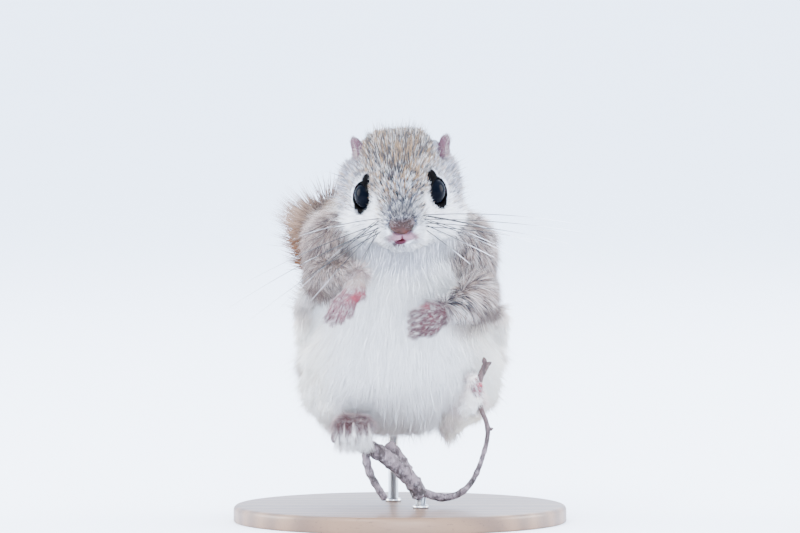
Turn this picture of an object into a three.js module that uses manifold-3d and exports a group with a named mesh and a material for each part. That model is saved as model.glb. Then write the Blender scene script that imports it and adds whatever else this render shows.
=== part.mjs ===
// A Siberian flying squirrel at life size, sitting hunched on a cut twig over a plain round stand.
// Millimetres, +Z up. The squirrel faces -Y, so its left side is +X.
// The origin is the middle of the stand's underside. Every outline includes the depth of the coat.
// All is drawn a little above its place over the stand, then lowered together by SEAT_DROP.
import * as THREE from "three";
import { mergeVertices } from "three/addons/utils/BufferGeometryUtils.js";
import Module from "manifold-3d";

const wasm = await Module();
wasm.setup();

// Driving dimensions
const GAP = 0.3; // between nodes that touch
const CLEARANCE = 0.42; // growth of a form that cuts its neighbour, as facets lie nearer than corners
const DEG = Math.PI / 180;
const LEFT = 1;
const RIGHT = -1;
const SEAT_DROP = 2.4; // how far the finished forms are lowered

const HEAD_AT = [0, -9, 101.4];
const HEAD_PITCH = 18 * DEG; // nose down
const HEAD_ROLL = 4 * DEG; // the left side is held higher
const EYE_RADIUS = 5.0;
const EYE_AT = [8.4, -6.7, 2.6]; // in the head's frame, left side
const EYE_LOOKS = [0.84, -0.52, 0.1]; // the way the left eye faces
const LID_DEPTH = 1.0; // flesh round the eyeball, with the gap
const LID_OPEN = 4.0; // half width of the eyeball's cap that the lids leave open
const LID_TALL = 1.06; // the opening is a little taller than wide
const EAR_AT = { left: [13.7, 5.4, 12.2], right: [-12.2, 5.4, 13.6] }; // the right one is drawn in
const EAR_HEIGHT = 8.4;
const EAR_DEPTH = 7.4;
const EAR_THICK = 3.6;
const EAR_WALL = 0.9;

const TORSO_TURN = 14 * DEG; // the chest faces a little to the squirrel's left
const BODY_HALF_WIDTH = 30.5;

const TAIL_HALF_WIDTH = 15.5; // out to the tips of the side hair
const TAIL_CORE_SHARE = 0.42; // of the half width
const TAIL_CORE_THICK = 3.4;
const TAIL_LOCKS = 18; // on each side
const TAIL_TIP_LOCKS = 2; // on each side of the one in the middle
const LOCK_WIDTH = 3.3;
const LOCK_LIFT = 1.1; // how far a lock rises from the tail's middle sheet

const STAND_RADIUS = 50;
const STAND_THICK = 5;
const ROD_RADIUS = 1.5;
const PERCH_ROD = { x: 6.2, y: -13.6, top: 16 };
const BODY_ROD = { x: -2, y: 12, top: 40 };

// Colours and finishes
const finish = (color, roughness, metalness = 0) =>
  new THREE.MeshStandardMaterial({ color, roughness, metalness });
const FUR_WHITE = finish(0xe9e6e2, 0.95);
const FUR_GREY = finish(0xb3a595, 0.95);
const FUR_BROWN = finish(0x9b7c5e, 0.95);
const SKIN_PINK = finish(0xc99a95, 0.6);
const EYE_BLACK = finish(0x05070c, 0.05);
const BARK = finish(0x6f6258, 0.9);
const STAND_WOOD = finish(0x8a6a4a, 0.55);
const STEEL = finish(0xb8b8bc, 0.3, 1);

// Solids and geometries

// A closed geometry as a solid that can be joined and cut.
function solidOf(geometry) {
  const bare = geometry.clone();
  bare.deleteAttribute("normal");
  bare.deleteAttribute("uv");
  const merged = mergeVertices(bare, 1e-4);
  const made = new wasm.Manifold(
    new wasm.Mesh({
      numProp: 3,
      vertProperties: new Float32Array(merged.attributes.position.array),
      triVerts: new Uint32Array(merged.index.array),
    }),
  );
  if (made.volume() < 0) throw new Error("a form is inside out");
  return made;
}

function geometryOf(solid) {
  const mesh = solid.getMesh();
  const geometry = new THREE.BufferGeometry();
  geometry.setAttribute("position", new THREE.BufferAttribute(new Float32Array(mesh.vertProperties), 3));
  geometry.setIndex(new THREE.BufferAttribute(new Uint32Array(mesh.triVerts), 1));
  geometry.computeVertexNormals();
  return geometry;
}

const join = (solids) => solids.reduce((all, one) => all.add(one));

function largest(solid) {
  const pieces = solid.decompose();
  return pieces.reduce((best, one) => (one.volume() > best.volume() ? one : best));
}

const vec = (p) => new THREE.Vector3(...p);
const mirrored = (p, side) => [p[0] * side, p[1], p[2]];

// Distance from a point to an ellipsoid, near enough for finding its surface.
function ellipsoidDistance(p, e) {
  const q = p.clone().sub(e.centre);
  const k0 = Math.hypot(q.x / e.size[0], q.y / e.size[1], q.z / e.size[2]);
  const k1 = Math.hypot(q.x / e.size[0] ** 2, q.y / e.size[1] ** 2, q.z / e.size[2] ** 2);
  return k1 < 1e-9 ? -Math.min(...e.size) : (k0 * (k0 - 1)) / k1;
}

// Two distances joined with a rounded fillet of about that depth.
function fillet(a, b, depth) {
  const h = Math.max(depth - Math.abs(a - b), 0) / depth;
  return Math.min(a, b) - (h * h * depth) / 4;
}

const lump = (centre, size) => ({ centre: vec(centre), size });
const pair = (centre, size) => [LEFT, RIGHT].map((side) => lump(mirrored(centre, side), size));

// One smooth closed form around several ellipsoids. Every ray from its middle leaves it once.
function blob(lumps, middle, depth, detail, grow = 0) {
  const gaps = (p) => lumps.map((e) => ellipsoidDistance(p, e));
  const field = (p) => gaps(p).reduce((a, b) => fillet(a, b, depth)) - grow;
  const geometry = new THREE.IcosahedronGeometry(1, detail);
  const at = geometry.attributes.position;
  const heart = vec(middle);
  const far = 90;
  for (let i = 0; i < at.count; i++) {
    const way = new THREE.Vector3().fromBufferAttribute(at, i).normalize();
    let inside = 0;
    let outside = far;
    for (let step = 0; step < 30; step++) {
      const half = (inside + outside) / 2;
      if (field(heart.clone().addScaledVector(way, half)) < 0) inside = half;
      else outside = half;
    }
    const found = heart.clone().addScaledVector(way, inside);
    at.setXYZ(i, found.x, found.y, found.z);
  }
  return solidOf(geometry);
}

const lerpList = (values, t) => {
  const last = values.length - 1;
  const i = Math.min(Math.floor(t * last), last - 1);
  const f = t * last - i;
  return values[i] + (values[i + 1] - values[i]) * f;
};

// A rounded limb along a smooth line. Each stop is [x, y, z, half width, half thickness].
// wide is the way the width points, or a list of ways, one for each stop. blunt near 0 squares its ends.
function limb(stops, { wide = [1, 0, 0], around = 10, along = 9, blunt = 0.5, grow = 0 } = {}) {
  const line = new THREE.CatmullRomCurve3(stops.map((s) => vec(s)), false, "centripetal");
  const ways = (Array.isArray(wide[0]) ? wide : stops.map(() => wide)).map(vec);
  const geometry = new THREE.SphereGeometry(1, around, along);
  const at = geometry.attributes.position;
  for (let i = 0; i < at.count; i++) {
    const p = new THREE.Vector3().fromBufferAttribute(at, i);
    const polar = Math.acos(THREE.MathUtils.clamp(p.y, -1, 1));
    const turn = Math.atan2(p.z, p.x);
    const t = (1 - Math.cos(polar)) / 2;
    const u = THREE.MathUtils.clamp(t, 0, 1);
    const round = Math.sin(polar) < 1e-6 ? 0 : Math.sin(polar) ** blunt;
    const tangent = line.getTangent(u);
    const way = new THREE.Vector3(
      lerpList(ways.map((w) => w.x), u),
      lerpList(ways.map((w) => w.y), u),
      lerpList(ways.map((w) => w.z), u),
    );
    const across = way.addScaledVector(tangent, -way.dot(tangent)).normalize();
    const through = tangent.clone().cross(across);
    const width = (lerpList(stops.map((s) => s[3]), u) + grow) * round;
    const thick = (lerpList(stops.map((s) => s[4] ?? s[3]), u) + grow) * round;
    const found = line
      .getPoint(u)
      .addScaledVector(across, width * Math.cos(turn))
      .addScaledVector(through, thick * Math.sin(turn));
    found.addScaledVector(tangent, (t < 0.5 ? -grow : grow) * (1 - round));
    at.setXYZ(i, found.x, found.y, found.z);
  }
  return solidOf(geometry);
}

// The side of a plane, as a large block. The block lies on the side that facing points to.
function halfSpace(point, facing, offset = 0) {
  const reach = 260;
  const block = new THREE.BoxGeometry(reach, reach, reach);
  block.translate(0, 0, reach / 2 + offset);
  const up = new THREE.Vector3(0, 0, 1);
  block.applyQuaternion(new THREE.Quaternion().setFromUnitVectors(up, vec(facing).normalize()));
  block.translate(...point);
  return solidOf(block);
}

// The head

const headFrame = new THREE.Matrix4()
  .makeRotationY(-HEAD_ROLL)
  .multiply(new THREE.Matrix4().makeRotationX(HEAD_PITCH))
  .setPosition(...HEAD_AT);
const onHead = (solid) => solid.transform([...headFrame.elements]);
const headPoint = (p) => vec(p).applyMatrix4(headFrame).toArray();

const headLumps = [
  lump([0, 4.6, 2.6], [15.4, 15.2, 15.6]), // cranium
  ...pair([6.5, 3.6, 8.3], [7.3, 9.0, 8.5]), // brows, which flatten the crown
  lump([0, -5.2, 4.4], [10.6, 10.6, 9.6]), // forehead
  lump([0, -11.5, -1.6], [5.6, 8.6, 4.8]), // bridge of the nose
  ...pair([3.0, -13.6, -4.6], [4.4, 6.4, 4.4]), // whisker pads
  ...pair([9.3, -1.8, -6.4], [9.0, 9.4, 8.6]), // cheeks
  ...pair([9.6, 4.4, 0.4], [7.6, 8.6, 8.2]), // long hair behind the eyes
  ...pair([8.6, -0.6, -12.4], [9.8, 9.6, 8.0]), // jowls
  lump([0, -8.2, -10.6], [6.4, 8.0, 4.8]), // jaw
];

// The lids: a thin shell of flesh over the eyeball, with a flaring oval opening.
function lids(side) {
  const depth = Math.sqrt(EYE_RADIUS ** 2 - LID_OPEN ** 2);
  const profile = [
    [0, depth - 0.8],
    [LID_OPEN - 0.7, depth - 0.8],
    [LID_OPEN, depth],
    [LID_OPEN + 1.4, depth + 6],
    [0, depth + 6],
  ].map(([r, z]) => new THREE.Vector2(r, z));
  const plug = new THREE.LatheGeometry(profile, 16).rotateX(90 * DEG).scale(1, LID_TALL, 1);
  const looks = vec(mirrored(EYE_LOOKS, side)).normalize();
  const turn = new THREE.Quaternion().setFromUnitVectors(new THREE.Vector3(0, 0, 1), looks);
  const shell = new THREE.SphereGeometry(EYE_RADIUS + LID_DEPTH, 16, 9).rotateX(90 * DEG);
  const lid = solidOf(shell.applyQuaternion(turn)).subtract(solidOf(plug.applyQuaternion(turn)));
  return lid.translate(mirrored(EYE_AT, side));
}

function eyeBall(side, grow = 0) {
  const ball = new THREE.SphereGeometry(EYE_RADIUS + grow, 14, 9);
  ball.translate(...mirrored(EYE_AT, side));
  return onHead(solidOf(ball));
}

const NOSE_AT = [0, -20.0, -2.2];
const NOSE_HALF_WIDTH = 3.6;

function noseForm(grow = 0) {
  return blob(
    [lump(NOSE_AT, [NOSE_HALF_WIDTH * 0.8, 2.4, 2.5]), ...pair([1.8, -20.0, -3.1], [1.8, 2.1, 1.8])],
    NOSE_AT,
    1.0,
    3,
    grow,
  )
    .subtract(nostril(LEFT))
    .subtract(nostril(RIGHT));
}

function nostril(side) {
  const cut = limb(
    [
      [0.85 * side, -22.6, -2.7, 0.4],
      [1.5 * side, -21.9, -2.8, 0.45],
      [2.5 * side, -20.7, -3.3, 0.35],
    ],
    { around: 6, along: 5 },
  );
  return cut;
}

// Lips as small rolls under the nose, with the mouth cut as a thin curved line between them.
function lipForms() {
  const upper = [LEFT, RIGHT].map((side) =>
    limb(
      [
        [-0.6 * side, -18.8, -6.1, 1.4],
        [2.2 * side, -18.9, -6.5, 1.6],
        [5.0 * side, -16.4, -7.4, 1.2],
      ],
      { wide: [0, 0, 1], around: 7, along: 6 },
    ),
  );
  const lower = limb(
    [
      [-4.4, -15.6, -9.1, 1.0],
      [0, -18.0, -9.0, 1.5],
      [4.4, -15.6, -9.1, 1.0],
    ],
    { wide: [0, 0, 1], around: 7, along: 7 },
  );
  return [...upper, lower];
}

function mouthLine() {
  return limb(
    [
      [-5.8, -15.4, -8.6, 1.0, 0.2],
      [-2.8, -18.4, -7.9, 1.5, 0.22],
      [0, -19.4, -7.7, 1.6, 0.25],
      [2.8, -18.4, -7.9, 1.5, 0.22],
      [5.8, -15.4, -8.6, 1.0, 0.2],
    ],
    { wide: [0, 1, 0], around: 4, along: 10, blunt: 0.3 },
  );
}

function lipCleft() {
  return limb(
    [
      [0, -20.6, -4.6, 0.2, 0.9],
      [0, -20.0, -7.5, 0.2, 0.9],
    ],
    { wide: [1, 0, 0], around: 4, along: 3 },
  );
}

const HEAD_HEART = [0, -1, -2];

function headForm() {
  const skull = blob(headLumps, HEAD_HEART, 5.5, 8);
  const flesh = join([skull, lids(LEFT), lids(RIGHT), ...lipForms()]);
  return onHead(flesh.subtract(mouthLine()).subtract(lipCleft()));
}

// Each ear is a shallow cup on a short root, open outwards and a little forwards.
function earForm(side) {
  const [thick, deep, high] = [EAR_THICK / 2, EAR_DEPTH / 2, EAR_HEIGHT / 2];
  const outer = new THREE.SphereGeometry(1, 12, 8).scale(thick, deep, high);
  const inner = new THREE.SphereGeometry(1, 10, 7).scale(thick, deep - EAR_WALL, high - EAR_WALL);
  inner.translate((thick - 0.35) * side, -0.5, 0.5);
  const cup = solidOf(outer).subtract(solidOf(inner));
  const root = limb(
    [
      [0, 0.8, -2.6, 2.6, 1.3],
      [-1.6 * side, 0.8, -6.4, 2.8, 1.8],
    ],
    { wide: [0, 1, 0], around: 10, along: 5 },
  );
  const turn = new THREE.Matrix4()
    .makeRotationY(14 * DEG * side)
    .multiply(new THREE.Matrix4().makeRotationZ(-24 * DEG * side))
    .multiply(new THREE.Matrix4().makeRotationX(-16 * DEG))
    .setPosition(...(side === LEFT ? EAR_AT.left : EAR_AT.right));
  return onHead(cup.add(root).transform([...turn.elements]));
}

// The trunk

const turnTorso = (p) => vec(p).applyAxisAngle(new THREE.Vector3(0, 0, 1), TORSO_TURN).toArray();
const trunkLumps = [
  lump([0.6, 1.0, 52], [BODY_HALF_WIDTH, 23.5, 23.0]), // belly
  lump([0.4, -1.0, 72], [25.5, 18.5, 21.0]), // chest
  lump(turnTorso([-1.0, 10.5, 76]), [25.0, 18.5, 24.0]), // shoulders and back
  lump(turnTorso([0, 12.0, 50]), [26.0, 19.5, 20.0]), // rump
  lump([0, -1.0, 90], [19.5, 14.0, 13.0]), // neck
  lump([-1.2, 7.5, 92], [22.5, 14.0, 14.5]), // nape
];

const trunkForm = (grow = 0) => blob(trunkLumps, [0, 4, 64], 7, 6, grow);

// Legs and arms. Each is a run of stops, so a later stop is nearer the hand or foot.

const ARM = {
  left: {
    upper: [[15.0, 4.5, 92, 9.0], [20.2, -1.5, 86, 9.8], [23.4, -7.0, 76, 8.4]],
    fore: [
      [24.2, -6, 74, 8.6, 7.6],
      [22.8, -14, 70.9, 9.0, 7.0],
      [17.8, -22, 69.0, 6.6, 4.8],
      [12.8, -26, 67.6, 3.4, 2.8],
    ],
  },
  right: {
    upper: [[-15, 3.5, 92, 9.5], [-20.0, -2.5, 87, 10.0], [-23.6, -8, 79, 8.2]],
    fore: [
      [-24.0, -7, 77, 7.8, 7.2],
      [-22.0, -14.5, 77.4, 7.8, 6.6],
      [-17.4, -21.5, 78.2, 5.8, 4.8],
      [-13.2, -25.2, 77.2, 3.2, 2.6],
    ],
  },
};

const LEG = {
  left: {
    thigh: [[15, 12, 47, 13], [19.5, 0, 45.5, 12], [21, -8.5, 45, 9]],
    shank: [[21.6, -8, 44, 8.4], [19.6, 0, 38, 7], [15.6, 7.5, 32.4, 4.4]],
  },
  right: {
    thigh: [[-16, 10, 47, 13], [-19.5, -3, 44.5, 12], [-20.5, -11.5, 43, 9]],
    shank: [[-20.8, -11, 42, 8.4], [-19.2, -2, 36.4, 7], [-16.6, 5, 31.8, 4.4]],
  },
};

const limbForm = (stops, wide, grow = 0) => limb(stops, { wide, around: 10, along: 8, blunt: 0.6, grow });

// A claw or digit grows from the palm or sole as one short bent tube with a hooked, pointed nail.
function digit(path, thick, claw, wide, grow) {
  const stops = path.map((p, i) => [...p, thick * (i === path.length - 1 ? 0.85 : 1)]);
  const flesh = limb(stops, { wide, around: 6, along: 5, grow });
  const tip = vec(path[path.length - 1]);
  const way = tip.clone().sub(vec(path[path.length - 2])).normalize();
  const down = new THREE.Vector3(0, 0, -1);
  const mid = tip.clone().addScaledVector(way, claw * 0.5).addScaledVector(down, claw * 0.1);
  const end = tip.clone().addScaledVector(way, claw * 0.8).addScaledVector(down, claw * 0.55);
  const nail = limb(
    [
      [...tip.clone().addScaledVector(way, -0.5).toArray(), thick * 0.5],
      [...mid.toArray(), thick * 0.38],
      [...end.toArray(), 0.12],
    ],
    { wide, around: 4, along: 3, grow },
  );
  return flesh.add(nail);
}

const FINGER_THICK = 1.15;
const TOE_THICK = 1.35;
const CLAW_LENGTH = 1.9;

// The thumb is a short stub with a round pad.
const thumb = (root, tip, grow) =>
  limb([[...root, 1.3], [...tip, 1.0]], { wide: [0, 0, 1], around: 6, along: 4, grow });

// Right hand: it hangs from the wrist with the fingers loosely together.
function rightHand(grow = 0) {
  const palm = limb(
    [
      [-12.6, -26.2, 77.2, 2.6, 2.2],
      [-13.4, -27.9, 74.0, 3.4, 2.4],
      [-15.0, -28.7, 70.8, 2.9, 2.0],
    ],
    { wide: [0.85, 0, -0.5], around: 8, along: 6, grow },
  );
  const tips = [
    [-21.2, -28.8, 65.6],
    [-19.6, -30.4, 64.4],
    [-17.2, -31.0, 65.2],
    [-14.6, -30.6, 67.0],
  ];
  const fingers = tips.map((tip, i) => {
    const root = [-15.0 + i * 0.9, -28.0 - i * 0.15, 73.6 - i * 0.3];
    const bow = [-0.4, -0.9, 0.6];
    const knuckle = root.map((c, k) => (c + tip[k]) / 2 + bow[k]);
    return digit([root, knuckle, tip], FINGER_THICK, CLAW_LENGTH, [0, 1, 0], grow);
  });
  return join([palm, ...fingers, thumb([-12.0, -28.0, 73.2], [-10.9, -29.0, 72.2], grow)]);
}

// Left hand: a loose fist held before the chest.
function leftHand(grow = 0) {
  const palm = limb(
    [
      [12.4, -26.4, 67.6, 2.6, 2.2],
      [10.8, -28.4, 65.8, 3.9, 2.8],
      [9.0, -29.6, 64.2, 3.8, 2.6],
    ],
    { wide: [0.5, 0.1, 0.85], around: 8, along: 6, grow },
  );
  const fingers = [0, 1, 2, 3].map((i) => {
    const height = 67.4 - i * 1.95;
    const forward = 0.5 * Math.sin((i / 3) * Math.PI);
    return digit(
      [
        [9.9 - i * 0.3, -30.4, height],
        [6.8 - i * 0.2, -33.6 - forward, height - 0.2],
        [4.0, -32.0 - forward, height - 0.9],
        [4.6, -29.4, height - 1.3],
      ],
      FINGER_THICK * 1.05,
      CLAW_LENGTH * 0.7,
      [0, 0, 1],
      grow,
    );
  });
  return join([palm, ...fingers, thumb([10.8, -28.6, 68.2], [8.8, -30.4, 69.2], grow)]);
}

// Right foot: flat over the thick twig, with the toes hooked down over its front.
function rightFoot(grow = 0) {
  const sole = limb(
    [
      [-17.0, 6.0, 32.0, 3.0, 3.0],
      [-16.2, -4.0, 32.0, 3.4, 2.6],
      [-14.6, -13.0, 32.2, 4.2, 2.5],
      [-13.8, -19.4, 32.4, 4.4, 2.4],
    ],
    { wide: [1, 0, 0], around: 10, along: 8, grow },
  );
  const toes = [0, 1, 2, 3, 4].map((i) => {
    const spread = (i - 2) * 1.95;
    const reach = [22.4, 23.8, 24.2, 23.6, 21.8][i];
    return digit(
      [
        [-13.9 + spread * 0.85, -18.4, 32.4],
        [-13.8 + spread, -reach, 31.8],
        [-13.7 + spread * 1.05, -reach - 0.9, 28.2],
      ],
      TOE_THICK,
      CLAW_LENGTH,
      [1, 0, 0],
      grow,
    );
  });
  return join([sole, ...toes]);
}

// Left foot: reaches forwards and up to the thin twig and folds round it.
function leftFoot(grow = 0) {
  const sole = limb(
    [
      [14.6, 8.6, 31.0, 3.0, 3.0],
      [16.2, 0.0, 33.4, 3.6, 2.8],
      [19.0, -8.0, 37.4, 4.2, 2.7],
      [20.8, -12.4, 40.4, 3.8, 2.4],
    ],
    { wide: [0.8, 0.1, -0.6], around: 10, along: 8, grow },
  );
  const toes = [0, 1, 2, 3, 4].map((i) => {
    const along = (i - 2) * 1.9;
    const root = [20.2 - along * 0.35, -11.6, 40.2 - along * 0.9];
    return digit(
      [
        root,
        [20.8 - along * 0.1, -17.2, 42.2 - along],
        [23.6 - along * 0.05, -18.2, 42.6 - along],
      ],
      TOE_THICK * 0.95,
      CLAW_LENGTH * 0.8,
      [0, 0, 1],
      grow,
    );
  });
  return join([sole, ...toes]);
}

// The gliding skin: a soft fold from the wrist round the elbow and down the flank to the ankle.
const GLIDE_WIDE = [
  [0, 0, 1],
  [0.3, -0.1, 1],
  [0.8, -0.6, 0.8],
  [0.35, -1, 0.1],
  [0.35, -1, -0.2],
  [0.3, -1, -0.5],
];
const GLIDE = {
  left: {
    stops: [
      [15.3, -23.0, 65.2, 2.0, 1.4],
      [22.3, -17, 63.8, 3.4, 2.0],
      [28.4, -9.5, 66.0, 4.0, 2.4],
      [29.6, -1, 60, 4.4, 2.6],
      [28.2, 3, 50, 4.2, 2.4],
      [21.0, 6.5, 37, 3.0, 2.0],
    ],
    wide: GLIDE_WIDE,
  },
  right: {
    stops: [
      [-15.2, -23.0, 75.0, 1.8, 1.3],
      [-21.6, -16.5, 73.0, 3.0, 1.9],
      [-27.0, -9.5, 71.6, 3.8, 2.4],
      [-28.8, -1, 62, 4.4, 2.6],
      [-27.4, 3, 50, 4.2, 2.4],
      [-20.8, 5.5, 37, 3.0, 2.0],
    ],
    wide: GLIDE_WIDE.map((way) => mirrored(way, RIGHT)),
  },
};

const glideForm = (side, grow) =>
  limb(GLIDE[side].stops, { wide: GLIDE[side].wide, around: 10, along: 18, blunt: 0.45, grow });

// The tail: a flat core folded up along the back, with locks combed out to both sides.

const TAIL_STOPS = [
  [-2.0, 22, 35],
  [-4.0, 35, 36.5],
  [-8.5, 40.5, 49],
  [-14.0, 40.5, 64],
  [-18.5, 37, 79],
  [-20.5, 31, 90.5],
  [-21.0, 24, 98.5],
];
const TAIL_LINE = new THREE.CatmullRomCurve3(TAIL_STOPS.map(vec), false, "centripetal");
const TAIL_WIDE = new THREE.Vector3(1, 0.25, 0.2).normalize();
const tailGirth = (t) => Math.min(1, 0.45 + 1.6 * t) * (1 - 0.35 * Math.max(0, t - 0.6) / 0.4);

function tailAxes(t) {
  const along = TAIL_LINE.getTangent(t);
  const across = TAIL_WIDE.clone().addScaledVector(along, -TAIL_WIDE.dot(along)).normalize();
  return { at: TAIL_LINE.getPoint(t), along, across, out: across.clone().cross(along) };
}

function tailCore() {
  const half = TAIL_HALF_WIDTH * TAIL_CORE_SHARE;
  const stops = TAIL_STOPS.map((p, i) => {
    const girth = tailGirth(i / (TAIL_STOPS.length - 1));
    return [...p, half * girth, TAIL_CORE_THICK * girth];
  });
  return limb(stops, { wide: TAIL_WIDE.toArray(), around: 10, along: 14, blunt: 0.5 });
}

// One flat lock, wide at its root and bent back towards the tip of the tail.
function tailLock(t, side, length, lift) {
  const { at, along, across, out } = tailAxes(t);
  const girth = tailGirth(t);
  const root = TAIL_HALF_WIDTH * TAIL_CORE_SHARE * girth * 0.4;
  const width = LOCK_WIDTH * girth;
  const stops = [
    [0, 0, 0.6, 1, 1.3],
    [0.34, 0.2, 1.0, 0.95, 1.1],
    [0.66, 0.52, 0.9, 0.62, 0.8],
    [0.84, 0.8, 0.7, 0.14, 0.3],
  ].map(([reach, sweep, rise, wide, thick]) => [
    ...at
      .clone()
      .addScaledVector(across, side * (root + length * reach))
      .addScaledVector(along, length * sweep)
      .addScaledVector(out, lift * rise)
      .toArray(),
    width * wide,
    thick,
  ]);
  const wide = along.clone().addScaledVector(across, side * -0.5).toArray();
  return limb(stops, { wide, around: 4, along: 4 });
}

function tailForm() {
  const locks = [];
  for (let i = 0; i < TAIL_LOCKS; i++) {
    const t = 0.1 + (0.84 * i) / (TAIL_LOCKS - 1);
    for (const side of [LEFT, RIGHT]) {
      const swell = 1 + 0.09 * Math.sin(i * 2.4 + side);
      const reach = TAIL_HALF_WIDTH * tailGirth(t) * (1 - TAIL_CORE_SHARE * 0.4);
      locks.push(tailLock(t, side, (reach / 0.84) * swell, i % 2 ? LOCK_LIFT : -LOCK_LIFT));
    }
  }
  const { at, along, across, out } = tailAxes(1);
  for (let i = -TAIL_TIP_LOCKS; i <= TAIL_TIP_LOCKS; i++) {
    const way = along.clone().addScaledVector(across, i * 0.3).normalize();
    const stops = [-5, 3, 10 - Math.abs(i)].map((d, n) => [
      ...at.clone().addScaledVector(way, d).addScaledVector(out, i % 2 ? 0.9 : -0.6).toArray(),
      [3.0, 2.8, 0.5][n],
      [1.3, 1.0, 0.3][n],
    ]);
    locks.push(limb(stops, { wide: across.toArray(), around: 4, along: 4 }));
  }
  return join([tailCore(), ...locks]);
}

// The perch and its stand

// Gnarled twigs: a limb whose girth swells at each ring of bud scars.
function twig(stops, { around = 9, along = 16, knots = 0, grow = 0 } = {}) {
  const line = new THREE.CatmullRomCurve3(stops.map((s) => vec(s)), false, "centripetal");
  const count = Math.max(stops.length, knots * 2 + 1);
  const fine = Array.from({ length: count }, (_, i) => {
    const t = i / (count - 1);
    const swell = knots > 0 && i % 2 ? 1.18 : 1;
    return [...line.getPoint(t).toArray(), lerpList(stops.map((s) => s[3]), t) * swell];
  });
  return limb(fine, { wide: [0.2, 1, 0.1], around, along, blunt: 0.25, grow });
}

const BRANCH = [
  [-20.5, -20.4, 29.6, 1.9],
  [-13.0, -19.6, 27.6, 2.1],
  [-6.5, -18.4, 24.6, 2.2],
  [0.0, -16.6, 19.6, 2.3],
  [4.4, -14.8, 14.4, 2.3],
  [6.2, -13.6, 10.6, 2.4],
];
const SPUR = [
  [2.4, -15.0, 18.2, 1.9],
  [-1.0, -14.2, 23.2, 1.9],
  [-3.8, -14.0, 27.0, 1.8],
];
const HANGER = [
  [-10.4, -18.8, 24.6, 1.2],
  [-9.2, -19.4, 19.0, 1.1],
  [-6.4, -19.2, 13.6, 1.05],
  [-4.2, -19.0, 10.4, 1.0],
];
const SIDE_TWIG = [
  [5.6, -13.8, 12.6, 1.3],
  [13.5, -13.4, 10.6, 1.1],
  [20.0, -14.0, 13.6, 0.9],
  [24.0, -15.0, 21.0, 0.75],
  [26.2, -15.8, 31.0, 0.7],
  [23.4, -15.6, 39.6, 0.7],
  [23.6, -15.8, 45.6, 0.75],
  [26.0, -16.6, 51.4, 0.9],
];

function standBase() {
  const edge = 1.2;
  const profile = [
    [0, 0],
    [STAND_RADIUS - 0.4, 0],
    [STAND_RADIUS, 0.4],
    [STAND_RADIUS, STAND_THICK - edge],
    [STAND_RADIUS - edge * 0.3, STAND_THICK - edge * 0.3],
    [STAND_RADIUS - edge, STAND_THICK],
    [0, STAND_THICK],
  ].map(([r, z]) => new THREE.Vector2(r, z + SEAT_DROP));
  return solidOf(new THREE.LatheGeometry(profile, 44).rotateX(90 * DEG));
}

function rod({ x, y, top }) {
  const low = SEAT_DROP + STAND_THICK + GAP;
  const bar = new THREE.CylinderGeometry(ROD_RADIUS, ROD_RADIUS, top - low, 20).rotateX(90 * DEG);
  return solidOf(bar.translate(x, y, (top + low) / 2));
}

// Parting the whole into nodes

// Each form is a function of how far it is grown. A later one is cut clear of the earlier ones.
const forms = [];
const nodes = [];

function touching(a, b) {
  const [p, q] = [a.boundingBox(), b.boundingBox()];
  return [0, 1, 2].every((i) => p.min[i] <= q.max[i] && q.min[i] <= p.max[i]);
}

const clearOf = (solid, cutters) =>
  cutters
    .filter((cutter) => touching(solid, cutter))
    .reduce((left, cutter) => left.subtract(cutter), solid);

const keep = (name, solid, material) =>
  nodes.push({ name, solid: largest(solid).translate([0, 0, -SEAT_DROP]), material });

function place(name, form, material) {
  keep(name, clearOf(form(0), forms), material);
  forms.push(form(CLEARANCE));
}

for (const [side, sign] of [["left", LEFT], ["right", RIGHT]]) {
  place("eye_" + side, (grow) => eyeBall(sign, grow), EYE_BLACK);
}
place("nose", (grow) => onHead(noseForm(grow)), SKIN_PINK);

place("perch_branch", (grow) => twig(BRANCH, { around: 8, along: 18, knots: 5, grow }), BARK);
place("perch_spur", (grow) => twig(SPUR, { around: 7, knots: 2, along: 8, grow }), BARK);
place("perch_hanger", (grow) => twig(HANGER, { around: 6, knots: 3, along: 12, grow }), BARK);
place("perch_side_twig", (grow) => twig(SIDE_TWIG, { around: 6, along: 20, grow }), BARK);

place("hand_left", leftHand, SKIN_PINK);
place("hand_right", rightHand, SKIN_PINK);
place("foot_left", leftFoot, SKIN_PINK);
place("foot_right", rightFoot, SKIN_PINK);

const wideOut = [0.3, 0.2, 1];
for (const side of ["left", "right"]) {
  place("forearm_" + side, (grow) => limbForm(ARM[side].fore, wideOut, grow), FUR_GREY);
  place("upper_arm_" + side, (grow) => limbForm(ARM[side].upper, wideOut, grow), FUR_GREY);
  place("shank_" + side, (grow) => limbForm(LEG[side].shank, wideOut, grow), FUR_WHITE);
  place("thigh_" + side, (grow) => limbForm(LEG[side].thigh, wideOut, grow), FUR_WHITE);
}

// The head, neck, torso and rump are one form, parted by three thin slanting cuts.
const NAPE = { point: [0, -22, 82], facing: [0, -0.68, 0.73] };
const COLLAR = { point: [0, -20, 75], facing: [0, -0.68, 0.73] };
const HIPS = { point: [0, 16, 50], facing: [0.05, -0.75, 0.66] };
const opposite = (way) => way.map((c) => -c);
const above = (cut) => halfSpace(cut.point, cut.facing, GAP / 2);
const below = (cut) => halfSpace(cut.point, opposite(cut.facing), GAP / 2);
const whole = clearOf(headForm().add(trunkForm()), forms);
keep("head", whole.intersect(above(NAPE)), FUR_GREY);
keep("neck", whole.intersect(below(NAPE)).intersect(above(COLLAR)), FUR_WHITE);
keep("torso", whole.intersect(below(COLLAR)).intersect(above(HIPS)), FUR_WHITE);
keep("rump", whole.intersect(below(COLLAR)).intersect(below(HIPS)), FUR_BROWN);
forms.push(trunkForm(GAP), onHead(blob(headLumps, HEAD_HEART, 5.5, 8, GAP)));

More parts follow.
